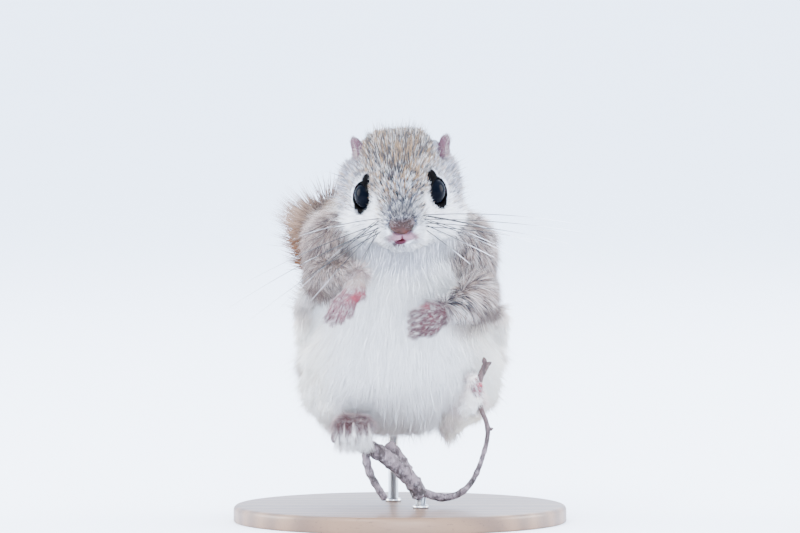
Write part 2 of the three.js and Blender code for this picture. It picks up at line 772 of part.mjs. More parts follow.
for (const [side, sign] of [["left", LEFT], ["right", RIGHT]]) {
  keep("ear_" + side, clearOf(earForm(sign), forms), SKIN_PINK);
  place("gliding_skin_" + side, (grow) => glideForm(side, grow), FUR_BROWN);
}

// The tail is parted across its line into three lengths.
const tail = clearOf(tailForm(), forms);
const tailCuts = [0.36, 0.68].map((t) => {
  const { at, along } = tailAxes(t);
  return { point: at.toArray(), facing: along.toArray() };
});
keep("tail_base", tail.intersect(below(tailCuts[0])), FUR_BROWN);
keep("tail_middle", tail.intersect(above(tailCuts[0])).intersect(below(tailCuts[1])), FUR_BROWN);
keep("tail_tip", tail.intersect(above(tailCuts[1])), FUR_BROWN);

keep("stand_base", standBase(), STAND_WOOD);
keep("stand_rod_perch", clearOf(rod(PERCH_ROD), forms), STEEL);
keep("stand_rod_body", clearOf(rod(BODY_ROD), forms), STEEL);

const squirrel = new THREE.Group();
for (const { name, solid, material } of nodes) {
  const mesh = new THREE.Mesh(geometryOf(solid), material);
  mesh.name = name;
  squirrel.add(mesh);
}

export default squirrel;
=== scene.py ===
"""The looks of a sitting flying squirrel on its perch: one skin, its coat in tufts, whiskers and stand."""
import math

import bpy
import numpy as np
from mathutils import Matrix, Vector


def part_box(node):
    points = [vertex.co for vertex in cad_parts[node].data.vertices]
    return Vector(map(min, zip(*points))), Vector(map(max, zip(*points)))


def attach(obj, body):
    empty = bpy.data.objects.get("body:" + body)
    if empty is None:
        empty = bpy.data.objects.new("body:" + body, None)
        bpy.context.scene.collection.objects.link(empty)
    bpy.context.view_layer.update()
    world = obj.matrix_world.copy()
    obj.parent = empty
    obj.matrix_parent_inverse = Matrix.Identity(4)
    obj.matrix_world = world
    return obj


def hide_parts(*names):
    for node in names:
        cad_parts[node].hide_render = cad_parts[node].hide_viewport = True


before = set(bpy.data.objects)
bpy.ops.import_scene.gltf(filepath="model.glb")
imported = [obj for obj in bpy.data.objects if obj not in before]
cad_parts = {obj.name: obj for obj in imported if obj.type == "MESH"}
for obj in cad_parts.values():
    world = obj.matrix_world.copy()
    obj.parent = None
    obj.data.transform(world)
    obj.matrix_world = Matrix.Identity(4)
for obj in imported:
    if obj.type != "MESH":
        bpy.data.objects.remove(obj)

import openvdb
from mathutils import Vector

# Everything is worked out in millimetres and turned into metres when a mesh is made.
MM = 0.001
RANDOM = np.random.default_rng(11)
SHARE = 1.0
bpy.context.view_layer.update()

# Sizes shared with the solids
HEAD_AT = np.array([0, -9, 99.0])
HEAD_PITCH = math.radians(18)
HEAD_ROLL = math.radians(4)
EYE_RADIUS = 5.0
EYE_AT = np.array([8.4, -6.7, 2.6])
EYE_LOOKS = np.array([0.84, -0.52, 0.1])
EAR_AT = {1: np.array([14.0, 5.4, 11.5]), -1: np.array([-11.7, 5.4, 12.7])}
EAR_RADII = np.array([1.45, 3.2, 3.9])
EAR_SQUARE = 2.8
EAR_LEAN, EAR_FORWARD, EAR_BACK = (math.radians(angle) for angle in (9, 17, 10))
NOSE_AT = np.array([0, -20.2, -2.0])
EYE_OPEN = 3.9
SEAM = 0.9  # the mouth's opening lies this far to the right
TAIL_HALF_WIDTH = 15.5
TAIL_CORE_WIDE = TAIL_HALF_WIDTH * 0.42 * 0.8
TAIL_WIDE = np.array([1, 0.25, 0.2])
TAIL_STOPS = np.array(
    [
        [-2.0, 22, 32.6],
        [-4.0, 35, 34.1],
        [-8.5, 40.5, 46.6],
        [-14.0, 40.5, 61.6],
        [-18.5, 37, 76.6],
        [-20.5, 31, 88.1],
        [-21.0, 24, 96.1],
    ]
)

# The coat by region: its depth over the skin, the tufts' width in mm, how many degrees they rise,
# how many stand on a square millimetre, and the way they lie.
COAT = {
    "head": (2.4, 0.27, 34, 15.0, (0, 1, 0.2)),
    "neck": (4.0, 0.21, 30, 17.0, (0, -0.2, -1)),
    "torso": (4.6, 0.22, 31, 17.0, (0, -0.1, -1)),
    "rump": (4.0, 0.28, 32, 11.0, (0, 0.5, -0.8)),
    "upper_arm_left": (2.8, 0.25, 27, 14.0, (0.25, -0.5, -1)),
    "upper_arm_right": (2.8, 0.25, 27, 14.0, (-0.3, -0.5, -1)),
    "forearm_left": (2.2, 0.27, 24, 14.0, (0.4, -0.3, -1)),
    "forearm_right": (2.0, 0.25, 25, 14.0, (0.2, -0.8, -0.7)),
    "thigh_left": (3.2, 0.24, 29, 14.0, (0.3, -0.7, -0.7)),
    "thigh_right": (3.2, 0.24, 29, 14.0, (-0.3, -0.7, -0.7)),
    "shank_left": (1.5, 0.24, 25, 12.0, (0, -0.3, -1)),
    "shank_right": (1.5, 0.24, 25, 12.0, (0, -0.3, -1)),
    "gliding_skin_left": (1.2, 0.24, 18, 12.0, (0.4, 0.5, -1)),
    "gliding_skin_right": (1.2, 0.24, 18, 12.0, (-0.4, 0.5, -1)),
    "hand_left": (0.3, 0.09, 17, 28.0, (-0.7, -0.7, -0.2)),
    "hand_right": (0.3, 0.09, 17, 28.0, (-0.55, -0.3, -1)),
    "foot_left": (0.7, 0.15, 22, 20.0, (0.3, -0.5, -0.7)),
    "foot_right": (0.6, 0.11, 18, 26.0, (0, -0.45, -0.9)),
    "ear_left": (0.1, 0.12, 16, 8.0, (0.3, 0.2, 1)),
    "ear_right": (0.1, 0.12, 16, 8.0, (-0.3, 0.2, 1)),
}
REGIONS = list(COAT)
ARMS = ("upper_arm", "forearm")
BARE = ("hand", "foot")
TRUNK = ("neck", "torso", "rump")
SIDES = (1, -1)  # the animal's left and right


# The twigs of the perch: places with radii, this much above where they lie
TWIG_DROP = np.array([0, 0, 2.4])
BRANCH = (
    (-20.5, -20.4, 29.6, 1.9),
    (-13.0, -19.6, 27.6, 2.1),
    (-6.5, -18.4, 24.6, 2.2),
    (0.0, -16.6, 19.6, 2.3),
    (4.4, -14.8, 14.4, 2.3),
    (6.2, -13.6, 10.6, 2.4),
)
SPUR = ((2.4, -15.0, 18.2, 1.9), (-1.0, -14.2, 23.2, 1.9), (-3.8, -14.0, 27.0, 1.8))
HANGER = (
    (-10.4, -18.8, 24.6, 1.2),
    (-9.2, -19.4, 19.0, 1.1),
    (-6.4, -19.2, 13.6, 1.05),
    (-4.2, -19.0, 10.4, 1.0),
)
SIDE_TWIG = (
    (5.6, -13.8, 12.6, 1.3),
    (13.5, -13.4, 10.6, 1.1),
    (20.0, -14.0, 13.6, 0.9),
    (24.0, -15.0, 21.0, 0.75),
    (26.2, -15.8, 31.0, 0.7),
    (23.4, -15.6, 39.6, 0.75),
    (23.6, -16.2, 45.6, 0.95),
    (26.0, -16.8, 51.4, 1.1),
)


# Small helpers for numbers and places


def unit(v):
    """Vectors of length 1."""
    return v / np.maximum(np.linalg.norm(v, axis=-1, keepdims=True), 1e-9)


def gap(points, middle, stretch=1):
    """How far places are from a middle, once the axes are stretched."""
    return np.linalg.norm((points - np.asarray(middle)) * stretch, axis=-1)


def dot(a, b):
    """The products of two rows of vectors, as a column."""
    return np.einsum("ij,ij->i", a, b)[:, None]


def regions(*starts):
    """The numbers of the regions whose names start so."""
    return [i for i, name in enumerate(REGIONS) if name.startswith(starts)]


def part_of(weights, *starts):
    """How much each place belongs to those regions."""
    return weights[regions(*starts)].sum(0)


def ramp(low, high, x):
    """0 below low, 1 above high and a smooth step between."""
    t = np.clip((x - low) / (high - low), 0, 1)
    return t * t * (3 - 2 * t)


def turned(axis, angle):
    """A turn about one axis, as a matrix."""
    c, s = math.cos(angle), math.sin(angle)
    rows = {
        "x": [[1, 0, 0], [0, c, -s], [0, s, c]],
        "y": [[c, 0, s], [0, 1, 0], [-s, 0, c]],
        "z": [[c, -s, 0], [s, c, 0], [0, 0, 1]],
    }
    return np.array(rows[axis])


HEAD_TURN = turned("y", -HEAD_ROLL) @ turned("x", HEAD_PITCH)


def to_head(points):
    """Places seen in the head's own frame: x to its left, y back and z up."""
    return (points - HEAD_AT) @ HEAD_TURN


def from_head(points):
    """Places in the head's own frame, brought back to the body's."""
    return points @ HEAD_TURN.T + HEAD_AT


def sided(place, side):
    """A place of the left side, or its mirror image."""
    return np.array([place[0] * side, place[1], place[2]])


def along_stops(stops, count):
    """Evenly spaced places on a smooth line through the stops. Extra columns are carried along."""
    stops = np.asarray(stops, float)
    pad = np.vstack([2 * stops[0] - stops[1], stops, 2 * stops[-1] - stops[-2]])
    fine = []
    for a, b, c, d in zip(pad, pad[1:], pad[2:], pad[3:]):
        t = np.linspace(0, 1, 24, endpoint=False)[:, None]
        square, cube = 2 * a - 5 * b + 4 * c - d, 3 * b - a - 3 * c + d
        fine.append(0.5 * (2 * b + (c - a) * t + square * t**2 + cube * t**3))
    fine = np.vstack([*fine, stops[-1:]])
    reach = np.concatenate([[0], np.cumsum(np.linalg.norm(np.diff(fine[:, :3], axis=0), axis=1))])
    wanted = np.linspace(0, reach[-1], count)
    return np.stack([np.interp(wanted, reach, column) for column in fine.T], 1)


def waves(points, size, seed):
    """Smooth noise from -1 to 1, with bumps of about that size in mm."""
    pick = np.random.default_rng(seed)
    total = np.zeros(len(points))
    for _ in range(5):
        way = unit(pick.normal(size=3)) * pick.uniform(0.7, 1.4) * 2 * math.pi / size
        total += np.sin(points @ way + pick.uniform(0, 6.28))
    return total / 2.6


# Fields on a grid: how far each place is from a surface, below zero inside

VOXEL = 0.45
COARSE_VOXEL = 2 * VOXEL
LOW = np.array([-37.8, -36.9, 17.1])
COARSE = (85, 102, 117)
FINE = tuple(2 * n - 1 for n in COARSE)


def grid_step(voxel):
    rows = [[voxel, 0, 0, 0], [0, voxel, 0, 0], [0, 0, voxel, 0], [*LOW.tolist(), 1]]
    return openvdb.createLinearTransform(rows)


def distance(points, faces, voxel, shape, outside, inside):
    """The field of a closed mesh, true up to those depths outside and inside it."""
    grid = openvdb.FloatGrid.createLevelSetFromPolygons(
        np.ascontiguousarray(points, np.float32),
        triangles=np.ascontiguousarray(faces, np.uint32),
        transform=grid_step(voxel),
        exBandWidth=outside / voxel,
        inBandWidth=inside / voxel,
    )
    found = np.empty(shape, np.float32)
    grid.copyToArray(found)
    return found


def surface(values, voxel=None, level=0.0, merge=0.0):
    """The surface where the field has that level, as points and outward triangles.
    Without a voxel size the points count in grid steps."""
    grid = openvdb.FloatGrid(float(values.max()))
    grid.copyFromArray(np.ascontiguousarray(values, np.float32))
    if voxel:
        grid.transform = grid_step(voxel)
    points, triangles, quads = grid.convertToPolygons(level, merge)
    faces = np.vstack([triangles.reshape(-1, 3), quads[:, [0, 1, 2]], quads[:, [0, 2, 3]]]).astype(np.int64)
    points = np.asarray(points, float)
    a, b, c = (points[faces[:, i]] for i in range(3))
    if dot(a, np.cross(b, c)).sum() < 0:
        faces = faces[:, ::-1]
    return points, faces


def finer(coarse):
    """The same field at half the spacing."""
    for axis in range(3):
        n = coarse.shape[axis]
        a = np.moveaxis(coarse, axis, 0)
        out = np.empty((2 * n - 1, *a.shape[1:]), np.float32)
        out[::2] = a
        out[1::2] = (a[1:] + a[:-1]) / 2
        coarse = np.moveaxis(out, 0, axis)
    return coarse


def soften(values, times):
    """The field with small bumps smoothed away."""
    for _ in range(times):
        for axis in range(3):
            values = (np.roll(values, 1, axis) + 2 * values + np.roll(values, -1, axis)) / 4
    return values


def places(shape, voxel):
    axes = [LOW[i] + voxel * np.arange(shape[i]) for i in range(3)]
    return np.stack(np.meshgrid(*axes, indexing="ij"), -1)


def sample(volume, points):
    """A coarse field's values between grid places. The field may have several channels in front."""
    shape = np.array(volume.shape[-3:])
    at = np.clip((points - LOW) / COARSE_VOXEL, 0, shape - 1.001)
    base = at.astype(int)
    part = at - base
    total = 0
    for corner in np.ndindex(2, 2, 2):
        i, j, k = (base + corner).T
        share = np.prod(np.where(np.array(corner) == 1, part, 1 - part), axis=1)
        total = total + volume[..., i, j, k] * share
    return total


def triangles_of(ob):
    me = ob.data
    points = np.empty(len(me.vertices) * 3, np.float32)
    me.vertices.foreach_get("co", points)
    me.calc_loop_triangles()
    faces = np.empty(len(me.loop_triangles) * 3, np.int32)
    me.loop_triangles.foreach_get("vertices", faces)
    return points.reshape(-1, 3) / MM, faces.reshape(-1, 3)


def joined(meshes):
    points, faces, count = [], [], 0
    for p, f in meshes:
        points.append(p)
        faces.append(f + count)
        count += len(p)
    return np.vstack(points), np.vstack(faces)


def bands(rows, around):
    """Triangles between rows of points that run round."""
    i, j = np.meshgrid(np.arange(rows - 1), np.arange(around), indexing="ij")
    a, b = (i * around + j).ravel(), (i * around + (j + 1) % around).ravel()
    return np.vstack([np.stack([a, b, b + around], 1), np.stack([a, b + around, a + around], 1)])


def tube(line, wide, across, through, around):
    """A closed tube round a line, with half widths across and through it."""
    way = unit(np.gradient(line, axis=0))
    wide = np.broadcast_to(wide, line.shape)
    side = unit(wide - way * dot(wide, way))
    up = np.cross(way, side)
    turn = np.linspace(0, 2 * math.pi, around, endpoint=False)
    ring = (
        side[:, None] * np.cos(turn)[None, :, None] * np.reshape(across, (-1, 1, 1))
        + up[:, None] * np.sin(turn)[None, :, None] * np.reshape(through, (-1, 1, 1))
    )
    points = np.vstack([(line[:, None] + ring).reshape(-1, 3), line[:1], line[-1:]])
    j = np.arange(around)
    low = np.stack([(j + 1) % around, j, np.full(around, len(points) - 2)], 1)
    last = (len(line) - 1) * around
    high = np.stack([last + j, last + (j + 1) % around, np.full(around, len(points) - 1)], 1)
    return points, np.vstack([bands(len(line), around), low, high])


# The skin: the solids' flesh joined, drawn in by the depth of the coat, with lids, lips and sockets worked in

TAIL_LINE = along_stops(TAIL_STOPS, 90)
TAIL_ROOT = [-1.0, 9, 40]
TAIL_T = np.linspace(0, 1, len(TAIL_LINE))
TAIL_GIRTH = np.minimum(1, 0.45 + 1.6 * TAIL_T) * (1 - 0.35 * np.maximum(0, TAIL_T - 0.6) / 0.4)


def head_depth(points):
    """The coat's depth on the head: thin on the muzzle and round the eyes, thicker on crown and cheeks."""
    h = to_head(points)
    depth = 0.25 + 2.35 * ramp(2, 22, gap(h, NOSE_AT))
    for side in SIDES:
        depth = depth * (0.14 + 0.86 * ramp(5.5, 11, gap(h, sided(EYE_AT, side))))
    return depth


def capsule(points, a, b, radius):
    """Distance to a rod with round ends."""
    a, b = np.asarray(a, float), np.asarray(b, float)
    t = np.clip((points - a) @ (b - a) / ((b - a) @ (b - a)), 0, 1)
    return np.linalg.norm(points - a - t[..., None] * (b - a), axis=-1) - radius


def blend_in(a, b, depth):
    """Both forms as one, with a soft fillet between them."""
    h = np.maximum(depth - np.abs(a - b), 0) / depth
    return np.minimum(a, b) - h * h * depth / 4


def carve(a, b, depth):
    """The first form drawn in round the second."""
    return -blend_in(-a, b, depth)


def lump(points, middle, radii, square=2):
    """About the distance to an ellipsoid, which is boxier with a larger power."""
    radii = np.asarray(radii, float)
    share = (np.abs((points - middle) / radii) ** square).sum(-1) ** (1 / square)
    return (share - 1) * radii.min()


def in_ear(h, side):
    """Places seen from the middle of an ear, which leans out and is turned forwards."""
    turn = turned("y", EAR_LEAN * side) @ turned("z", -EAR_FORWARD * side) @ turned("x", -EAR_BACK)
    return (h - EAR_AT[side]) @ turn


def ear_form(h, side):
    return lump(in_ear(h, side), (0, 0, 0), EAR_RADII, EAR_SQUARE)


def on_ears(h):
    """1 on the ears' own skin."""
    return np.maximum(*(ramp(0.55, 0.25, ear_form(h, side)) for side in SIDES))


def ear_cup(h, side):
    """A thin round cup, open outwards and a little forwards, on a short root in the head."""
    e = in_ear(h, side)
    hollow = lump(e, (2.1 * side, -0.7, 0.4), EAR_RADII - [-0.1, 0.8, 0.8])
    cup = carve(ear_form(h, side), hollow, 0.3)
    root = capsule(e, (-0.4 * side, 0.8, -2.4), (-3.4 * side, 1.0, -7.0), 2.0)
    return blend_in(cup, root, 1.5)


def eye_back(side):
    """The way from the middle of an eye's opening to its rear corner."""
    return unit(np.array([-EYE_LOOKS[1] * side, EYE_LOOKS[0], 0]))


def eye_places(eye, side):
    """For places round an eye: how far out, how far aside, and the share that lies behind."""
    looks = unit(sided(EYE_LOOKS, side))
    out = eye @ looks
    off = eye - out[..., None] * looks
    aside = np.linalg.norm(off, axis=-1)
    return out, aside, off @ eye_back(side) / np.maximum(aside, 0.1)


def face_details(field, points):
    """Lids, eye sockets, lips and the line of the mouth, on the places near the face."""
    h = to_head(points)
    for side in SIDES:
        eye = h - sided(EYE_AT, side)
        ball = np.linalg.norm(eye, axis=-1)
        out, aside, behind = eye_places(eye, side)
        opening = (EYE_OPEN + 0.3 * (out - 3.1) - aside) * 0.9
        lid = np.maximum(ball - EYE_RADIUS - 0.7 + 0.4 * ramp(-0.3, 0.6, behind), opening)
        field = blend_in(field, lid, 0.9)
        field = np.maximum(field, EYE_RADIUS - 0.12 - ball)
    # flesh over the nose leather, two soft lip pads under it and a small lower lip
    field = blend_in(field, lump(h, NOSE_AT + [0, 1.5, 0.9], (3.1, 2.7, 2.6)), 1.4)
    for s in SIDES:
        field = blend_in(field, lump(h, (1.7 * s, -18.9, -6.6), (1.9, 1.9, 1.15)), 0.6)
        field = blend_in(field, capsule(h, (2.8 * s, -17.6, -7.0), (5.2 * s, -15.6, -8.0), 1.1), 1.0)
    field = blend_in(field, lump(h, (-SEAM, -17.5, -8.3), (1.8, 1.8, 0.95)), 0.6)
    for s in SIDES:
        field = carve(field, capsule(h, (-0.7, -19.8, -7.3), (4.2 * s, -16.6, -8.1), 0.28), 0.3)
    field = carve(field, lump(h, (-SEAM, -19.4, -7.5), (1.0, 1.5, 0.22)), 0.25)
    return carve(field, capsule(h, (0, -20.8, -5.6), (0, -20.2, -7.4), 0.26), 0.4)


solids = {name: triangles_of(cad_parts[name]) for name in REGIONS}
FURLESS = (*BARE, "ear")


def coat_fields():
    """On the coarse grid: the share of each region at each place, and how deep the coat is there."""
    near = np.stack([distance(*solids[name], COARSE_VOXEL, COARSE, 6, 20) for name in REGIONS])
    shares = np.exp(-np.maximum(near + 0.5, 0) / 0.8)
    shares /= shares.sum(0)
    depths = np.array([COAT[name][0] for name in REGIONS])
    on_head = shares[0] * head_depth(places(COARSE, COARSE_VOXEL))
    depth = np.einsum("nxyz,n->xyz", shares[1:], depths[1:]) + on_head
    # the coat thins out towards hands, feet and ears
    for part in regions(*FURLESS):
        depth = np.minimum(depth, depths[part] + 0.85 * np.maximum(near[part] - 0.3, 0))
    return shares, depth


shares, depth = coat_fields()

# flesh at the wrists, heels, elbows and the tail's root: from, to and radius
FILLETS = (
    ((-17.5, -21.0, 75.8), (-12.9, -26.4, 74.0), 2.2),
    ((18.0, -21.5, 66.6), (12.2, -26.8, 64.8), 2.3),
    ((-18.0, 3.0, 33.0), (-16.6, 3.0, 29.8), 2.6),
    ((17.0, 5.0, 33.5), (15.6, 4.0, 29.8), 2.6),
    ((22.3, -6.0, 80.0), (22.8, -8.0, 71.0), 4.4),
    ((-22.0, -6.5, 83.0), (-22.6, -9.0, 75.0), 4.4),
    (TAIL_ROOT, TAIL_LINE[6], 3.4),
)
JAW_AT = np.array([-20.0, -26, -16])


def body_surface():
    """Head, body and limbs without the coat's depth, with the tail's core, the fillets and the face."""
    flesh = [solids[name] for name in REGIONS if not name.startswith(FURLESS)]
    # closed over the gaps between the solids, then brought back
    closing = 1.2
    swollen = surface(distance(*joined(flesh), VOXEL, FINE, 2, 2), VOXEL, level=closing)
    field = distance(*swollen, VOXEL, FINE, 3, 10) + closing + finer(depth.astype(np.float32))
    soft = soften(field, 5)
    thin_parts = regions(*FURLESS) + regions("gliding") + regions("head")
    thin = finer(soften(shares[thin_parts].sum(0), 1).astype(np.float32))
    field = soft + (field - soft) * ramp(0.2, 0.7, thin)
    core = TAIL_GIRTH * np.minimum(1, np.sqrt(np.maximum(1 - (2 * TAIL_T - 1) ** 8, 0)) + 0.02)
    tail_core = tube(TAIL_LINE, TAIL_WIDE, TAIL_CORE_WIDE * core, 2.6 * core, 18)
    field = blend_in(field, distance(*tail_core, VOXEL, FINE, 4, 4), 2.5)
    grid = places(FINE, VOXEL)
    for fillet in FILLETS:
        field = blend_in(field, capsule(grid, *fillet), 1.6)
    # the grid's part with the face: from the front to behind the ears, and up from the jaw
    face = (slice(None), slice(0, 95), slice(int((from_head(JAW_AT) - LOW)[2] / VOXEL), None))
    field[face] = face_details(field[face], grid[face])
    return main_surface(*surface(field, VOXEL, merge=0.02))


def main_surface(points, faces):
    """Only the largest closed surface."""
    label = np.arange(len(points))
    while True:
        least = label[faces].min(1)
        new = label.copy()
        for i in range(3):
            np.minimum.at(new, faces[:, i], least)
        new = new[new]
        if (new == label).all():
            break
        label = new
    best = np.bincount(label[faces[:, 0]]).argmax()
    faces = faces[label[faces[:, 0]] == best]
    used, faces = np.unique(faces, return_inverse=True)
    return points[used], faces.reshape(-1, 3)


def fine_form(low, high, step, build):
    """A small form's surface on a fine grid of its own. build gives the distance at each place."""
    axes = [np.arange(a, b, step) for a, b in zip(low, high)]
    points, faces = surface(build(np.stack(np.meshgrid(*axes, indexing="ij"), -1)))
    return main_surface(points * step + [a[0] for a in axes], faces)


def chain(points, stops, depth):
    """Rods from stop to stop, each stop with its radius, softly joined."""
    stops = np.asarray(stops, float)
    whole = None
    for a, b in zip(stops, stops[1:]):
        way = b[:3] - a[:3]
        t = np.clip((points - a[:3]) @ way / (way @ way), 0, 1)
        rod = gap(points - a[:3], t[..., None] * way) - a[3] - t * (b[3] - a[3])
        whole = rod if whole is None else blend_in(whole, rod, depth)
    return whole


def paw(palm, digits, pads, low, high):
    """A palm or sole with creased digits and round pads."""

    def build(at):
        field = np.minimum.reduce([chain(at, stops, 1.0) for stops in palm])
        toes = chain(at, digits[0], 0.3)
        for digit in digits[1:]:
            toes = blend_in(toes, chain(at, digit, 0.3), 0.22)
        field = blend_in(field, toes, 0.8)
        for x, y, z, radius in pads:
            field = blend_in(field, gap(at, [x, y, z]) - radius, 0.5)
        return field

    return fine_form(low, high, 0.21, build)


RIGHT_FINGERS = ((-21.2, -28.8, 63.2), (-19.6, -30.4, 62.0), (-17.2, -31.0, 62.8), (-14.6, -30.6, 64.6))
RIGHT_TOE_REACH = (22.4, 23.8, 24.2, 23.6, 21.8)


def finger_stops():
    """Root, knuckle and tip of every digit, hand by hand and foot by foot, with radii."""
    right_hand, left_hand, right_foot, left_foot = [], [], [], []
    for i, tip in enumerate(RIGHT_FINGERS):
        root = np.array([-15.0 + i * 0.9, -28.0 - i * 0.15, 71.2 - i * 0.3])
        knuckle = (root + tip) / 2 + [-0.4, -0.9, 0.6]
        bent = knuckle * 0.4 + np.array(tip) * 0.6
        right_hand.append([(*root, 1.2), (*knuckle, 1.15), (*bent, 0.95), (*tip, 0.95)])
    for i in range(4):
        high = 65.0 - i * 1.95
        ahead = 0.5 * math.sin(i / 3 * math.pi)
        left_hand.append(
            [
                (9.9 - i * 0.3, -30.4, high, 1.25),
                (6.8 - i * 0.2, -33.6 - ahead, high - 0.2, 1.2),
                (4.0, -32.0 - ahead, high - 0.9, 1.1),
                (4.6, -29.4, high - 1.3, 0.95),
            ]
        )
    for i in range(5):
        aside = (i - 2) * 1.95
        reach = RIGHT_TOE_REACH[i]
        right_foot.append(
            [
                (-13.9 + aside * 0.85, -17.4, 30.2, 1.3),
                (-13.8 + aside, -reach + 0.6, 30.2, 1.3),
                (-13.8 + aside, -reach - 0.5, 28.2, 1.15),
                (-13.7 + aside * 1.05, -reach - 0.5, 25.8, 0.95),
            ]
        )
        along = (i - 2) * 1.9
        short = 1.5 if abs(i - 2) == 2 else 0
        left_foot.append(
            [
                (20.2 - along * 0.35, -11.6, 37.8 - along * 0.9, 1.25),
                (20.8 - along * 0.1, -17.0, 39.8 - along, 1.2),
                (21.9 - along * 0.1 - 0.4 * short, -18.2, 40.0 - along, 1.05),
                (23.6 - along * 0.05 - short, -18.0, 40.2 - along, 0.9),
            ]
        )
    return right_hand, left_hand, right_foot, left_foot


FINGERS = finger_stops()
RIGHT_SOLE = [
    [
        (-17.0 + aside, 6.0, 29.6, 2.4),
        (-16.2 + aside, -4.0, 29.6, 2.5),
        (-14.6 + aside, -13.0, 29.8, 2.6),
        (-13.8 + aside * 1.4, -19.0, 30.2, 2.4),
    ]
    for aside in (-1.4, 1.2)
]
LEFT_SOLE = [
    [
        (14.6, 8.6, 28.6, 2.6),
        (16.2, 0.0, 31.0, 2.9),
        (19.0 + aside * 0.8, -8.0, 35.0 - aside * 0.6, 2.7),
        (20.8 + aside * 0.8, -12.4, 38.0 - aside * 0.6, 2.4),
    ]
    for aside in (-1.3, 1.3)
]
PAWS = (
    paw(
        [[(-12.6, -26.0, 75.0, 2.3), (-13.2, -27.6, 71.8, 2.7), (-14.8, -28.4, 69.0, 2.2)]],
        [*FINGERS[0], [(-12.0, -28.0, 70.8, 1.3), (-11.2, -29.4, 69.6, 1.1)]],
        [(-12.4, -29.6, 69.4, 1.35), (-14.8, -30.0, 67.8, 0.9)],
        (-24, -34.5, 57),
        (-7.5, -22, 79),
    ),
    paw(
        [[(12.4, -26.0, 65.2, 2.3), (10.8, -28.2, 63.6, 3.2), (9.0, -29.4, 61.2, 3.2)]],
        [*FINGERS[1], [(10.8, -28.6, 65.8, 1.3), (8.2, -31.2, 66.8, 1.1)]],
        [(7.6, -31.8, 66.2, 1.0)],
        (0.5, -37.2, 54),
        (17, -22, 71),
    ),
    paw(RIGHT_SOLE, FINGERS[2], [], (-23, -28.5, 20.5), (-5, 10, 37)),
    paw(LEFT_SOLE, FINGERS[3], [], (8.5, -22, 22.5), (29, 14, 47)),
)


def ear_surface(side):
    """One ear, on a grid round its middle."""
    middle = from_head(EAR_AT[side])
    return fine_form(middle - 8.5, middle + 6.5, 0.24, lambda at: ear_cup(to_head(at), side))


ear_cups = [ear_surface(side) for side in SIDES]
skin_points, skin_faces = joined([body_surface(), *PAWS, *ear_cups])
corners = [skin_points[skin_faces[:, i]] for i in range(3)]
face_cross = np.cross(corners[1] - corners[0], corners[2] - corners[0])
skin_normals = np.zeros_like(skin_points)
for i in range(3):
    np.add.at(skin_normals, skin_faces[:, i], face_cross)
skin_normals = unit(skin_normals)


# Colours, the same for skin and coat. These are on the coat.

WHITE = np.array([0.975, 0.975, 0.98])
CREAM = np.array([0.975, 0.92, 0.865])
CROWN = np.array([0.31, 0.257, 0.217])
BRIDGE = np.array([0.285, 0.295, 0.36])
TEMPLE = np.array([0.545, 0.55, 0.60])
CHEEK = np.array([0.89, 0.90, 0.93])
# a painted shadow under the chin, laid on the throat
UNDER_CHIN_SHADE = np.array([0.71, 0.715, 0.77])
ARM = np.array([0.67, 0.585, 0.545])
EDGE = np.array([0.32, 0.25, 0.22])
HEEL = np.array([0.90, 0.855, 0.76])
BACK = np.array([0.51, 0.44, 0.38])
BACK_TIP = np.array([0.80, 0.72, 0.64])
BUFF = np.array([0.61, 0.48, 0.35])
SLATE = np.array([0.16, 0.155, 0.18])
TAIL = np.array([0.34, 0.195, 0.11])
TAIL_DARK = np.array([0.33, 0.235, 0.18])
TAIL_END = np.array([0.66, 0.60, 0.56])
TAIL_HAIR_TIP = np.array([0.51, 0.39, 0.31])
NOSE_DOWN = np.array([0.22, 0.14, 0.13])
NOSE_DOWN_TIPS = np.array([[0.50, 0.46, 0.50], [0.78, 0.78, 0.83]])
WHISKER_ROOT = np.array([0.07, 0.065, 0.075])
WHISKER_TIP = np.array([0.93, 0.94, 0.97])

# and these on bare skin
RIM = np.array([0.012, 0.011, 0.014])
PINK = np.array([0.44, 0.31, 0.33])
SOLE = np.array([0.20, 0.09, 0.088])
EAR = np.array([0.355, 0.26, 0.295])
LIP = np.array([0.52, 0.37, 0.42])
MOUTH = np.array([0.22, 0.05, 0.08])
LOWER_LIP = np.array([0.30, 0.16, 0.20])
NOSE_SHADE = np.array([0.15, 0.12, 0.13])
PAD = np.array([0.56, 0.22, 0.27])

THUMB_PADS = (((-12.8, -30.0, 69.2), 2.2), ((-15.4, -30.4, 68.2), 1.5))
LEFT_PAD_AT = (7.4, -32.4, 66.3)
BARE_TOE_AT = (23.2, -18.6, 42.0)


def linear(colour):
    """sRGB numbers as linear light."""
    c = np.clip(colour, 0, 1)
    return np.where(c <= 0.04045, c / 12.92, ((c + 0.055) / 1.055) ** 2.4)


def mixed(a, b, share):
    """Rows of colour a turned towards b, each by its share. Either may be one colour."""
    share = np.clip(share, 0, 1)[:, None]
    return a * (1 - share) + b * share


def tail_place(points):
    """Each place's share of the tail's length, its distance, the ways along and across, how far across."""
    away = np.linalg.norm(points[:, None] - TAIL_LINE[None, ::2], axis=2)
    near = away.argmin(1) * 2
    way = unit(np.gradient(TAIL_LINE, axis=0))[near]
    across = unit(TAIL_WIDE - way * (way @ TAIL_WIDE)[:, None])
    return TAIL_T[near], away.min(1), way, across, dot(points - TAIL_LINE[near], across)[:, 0]


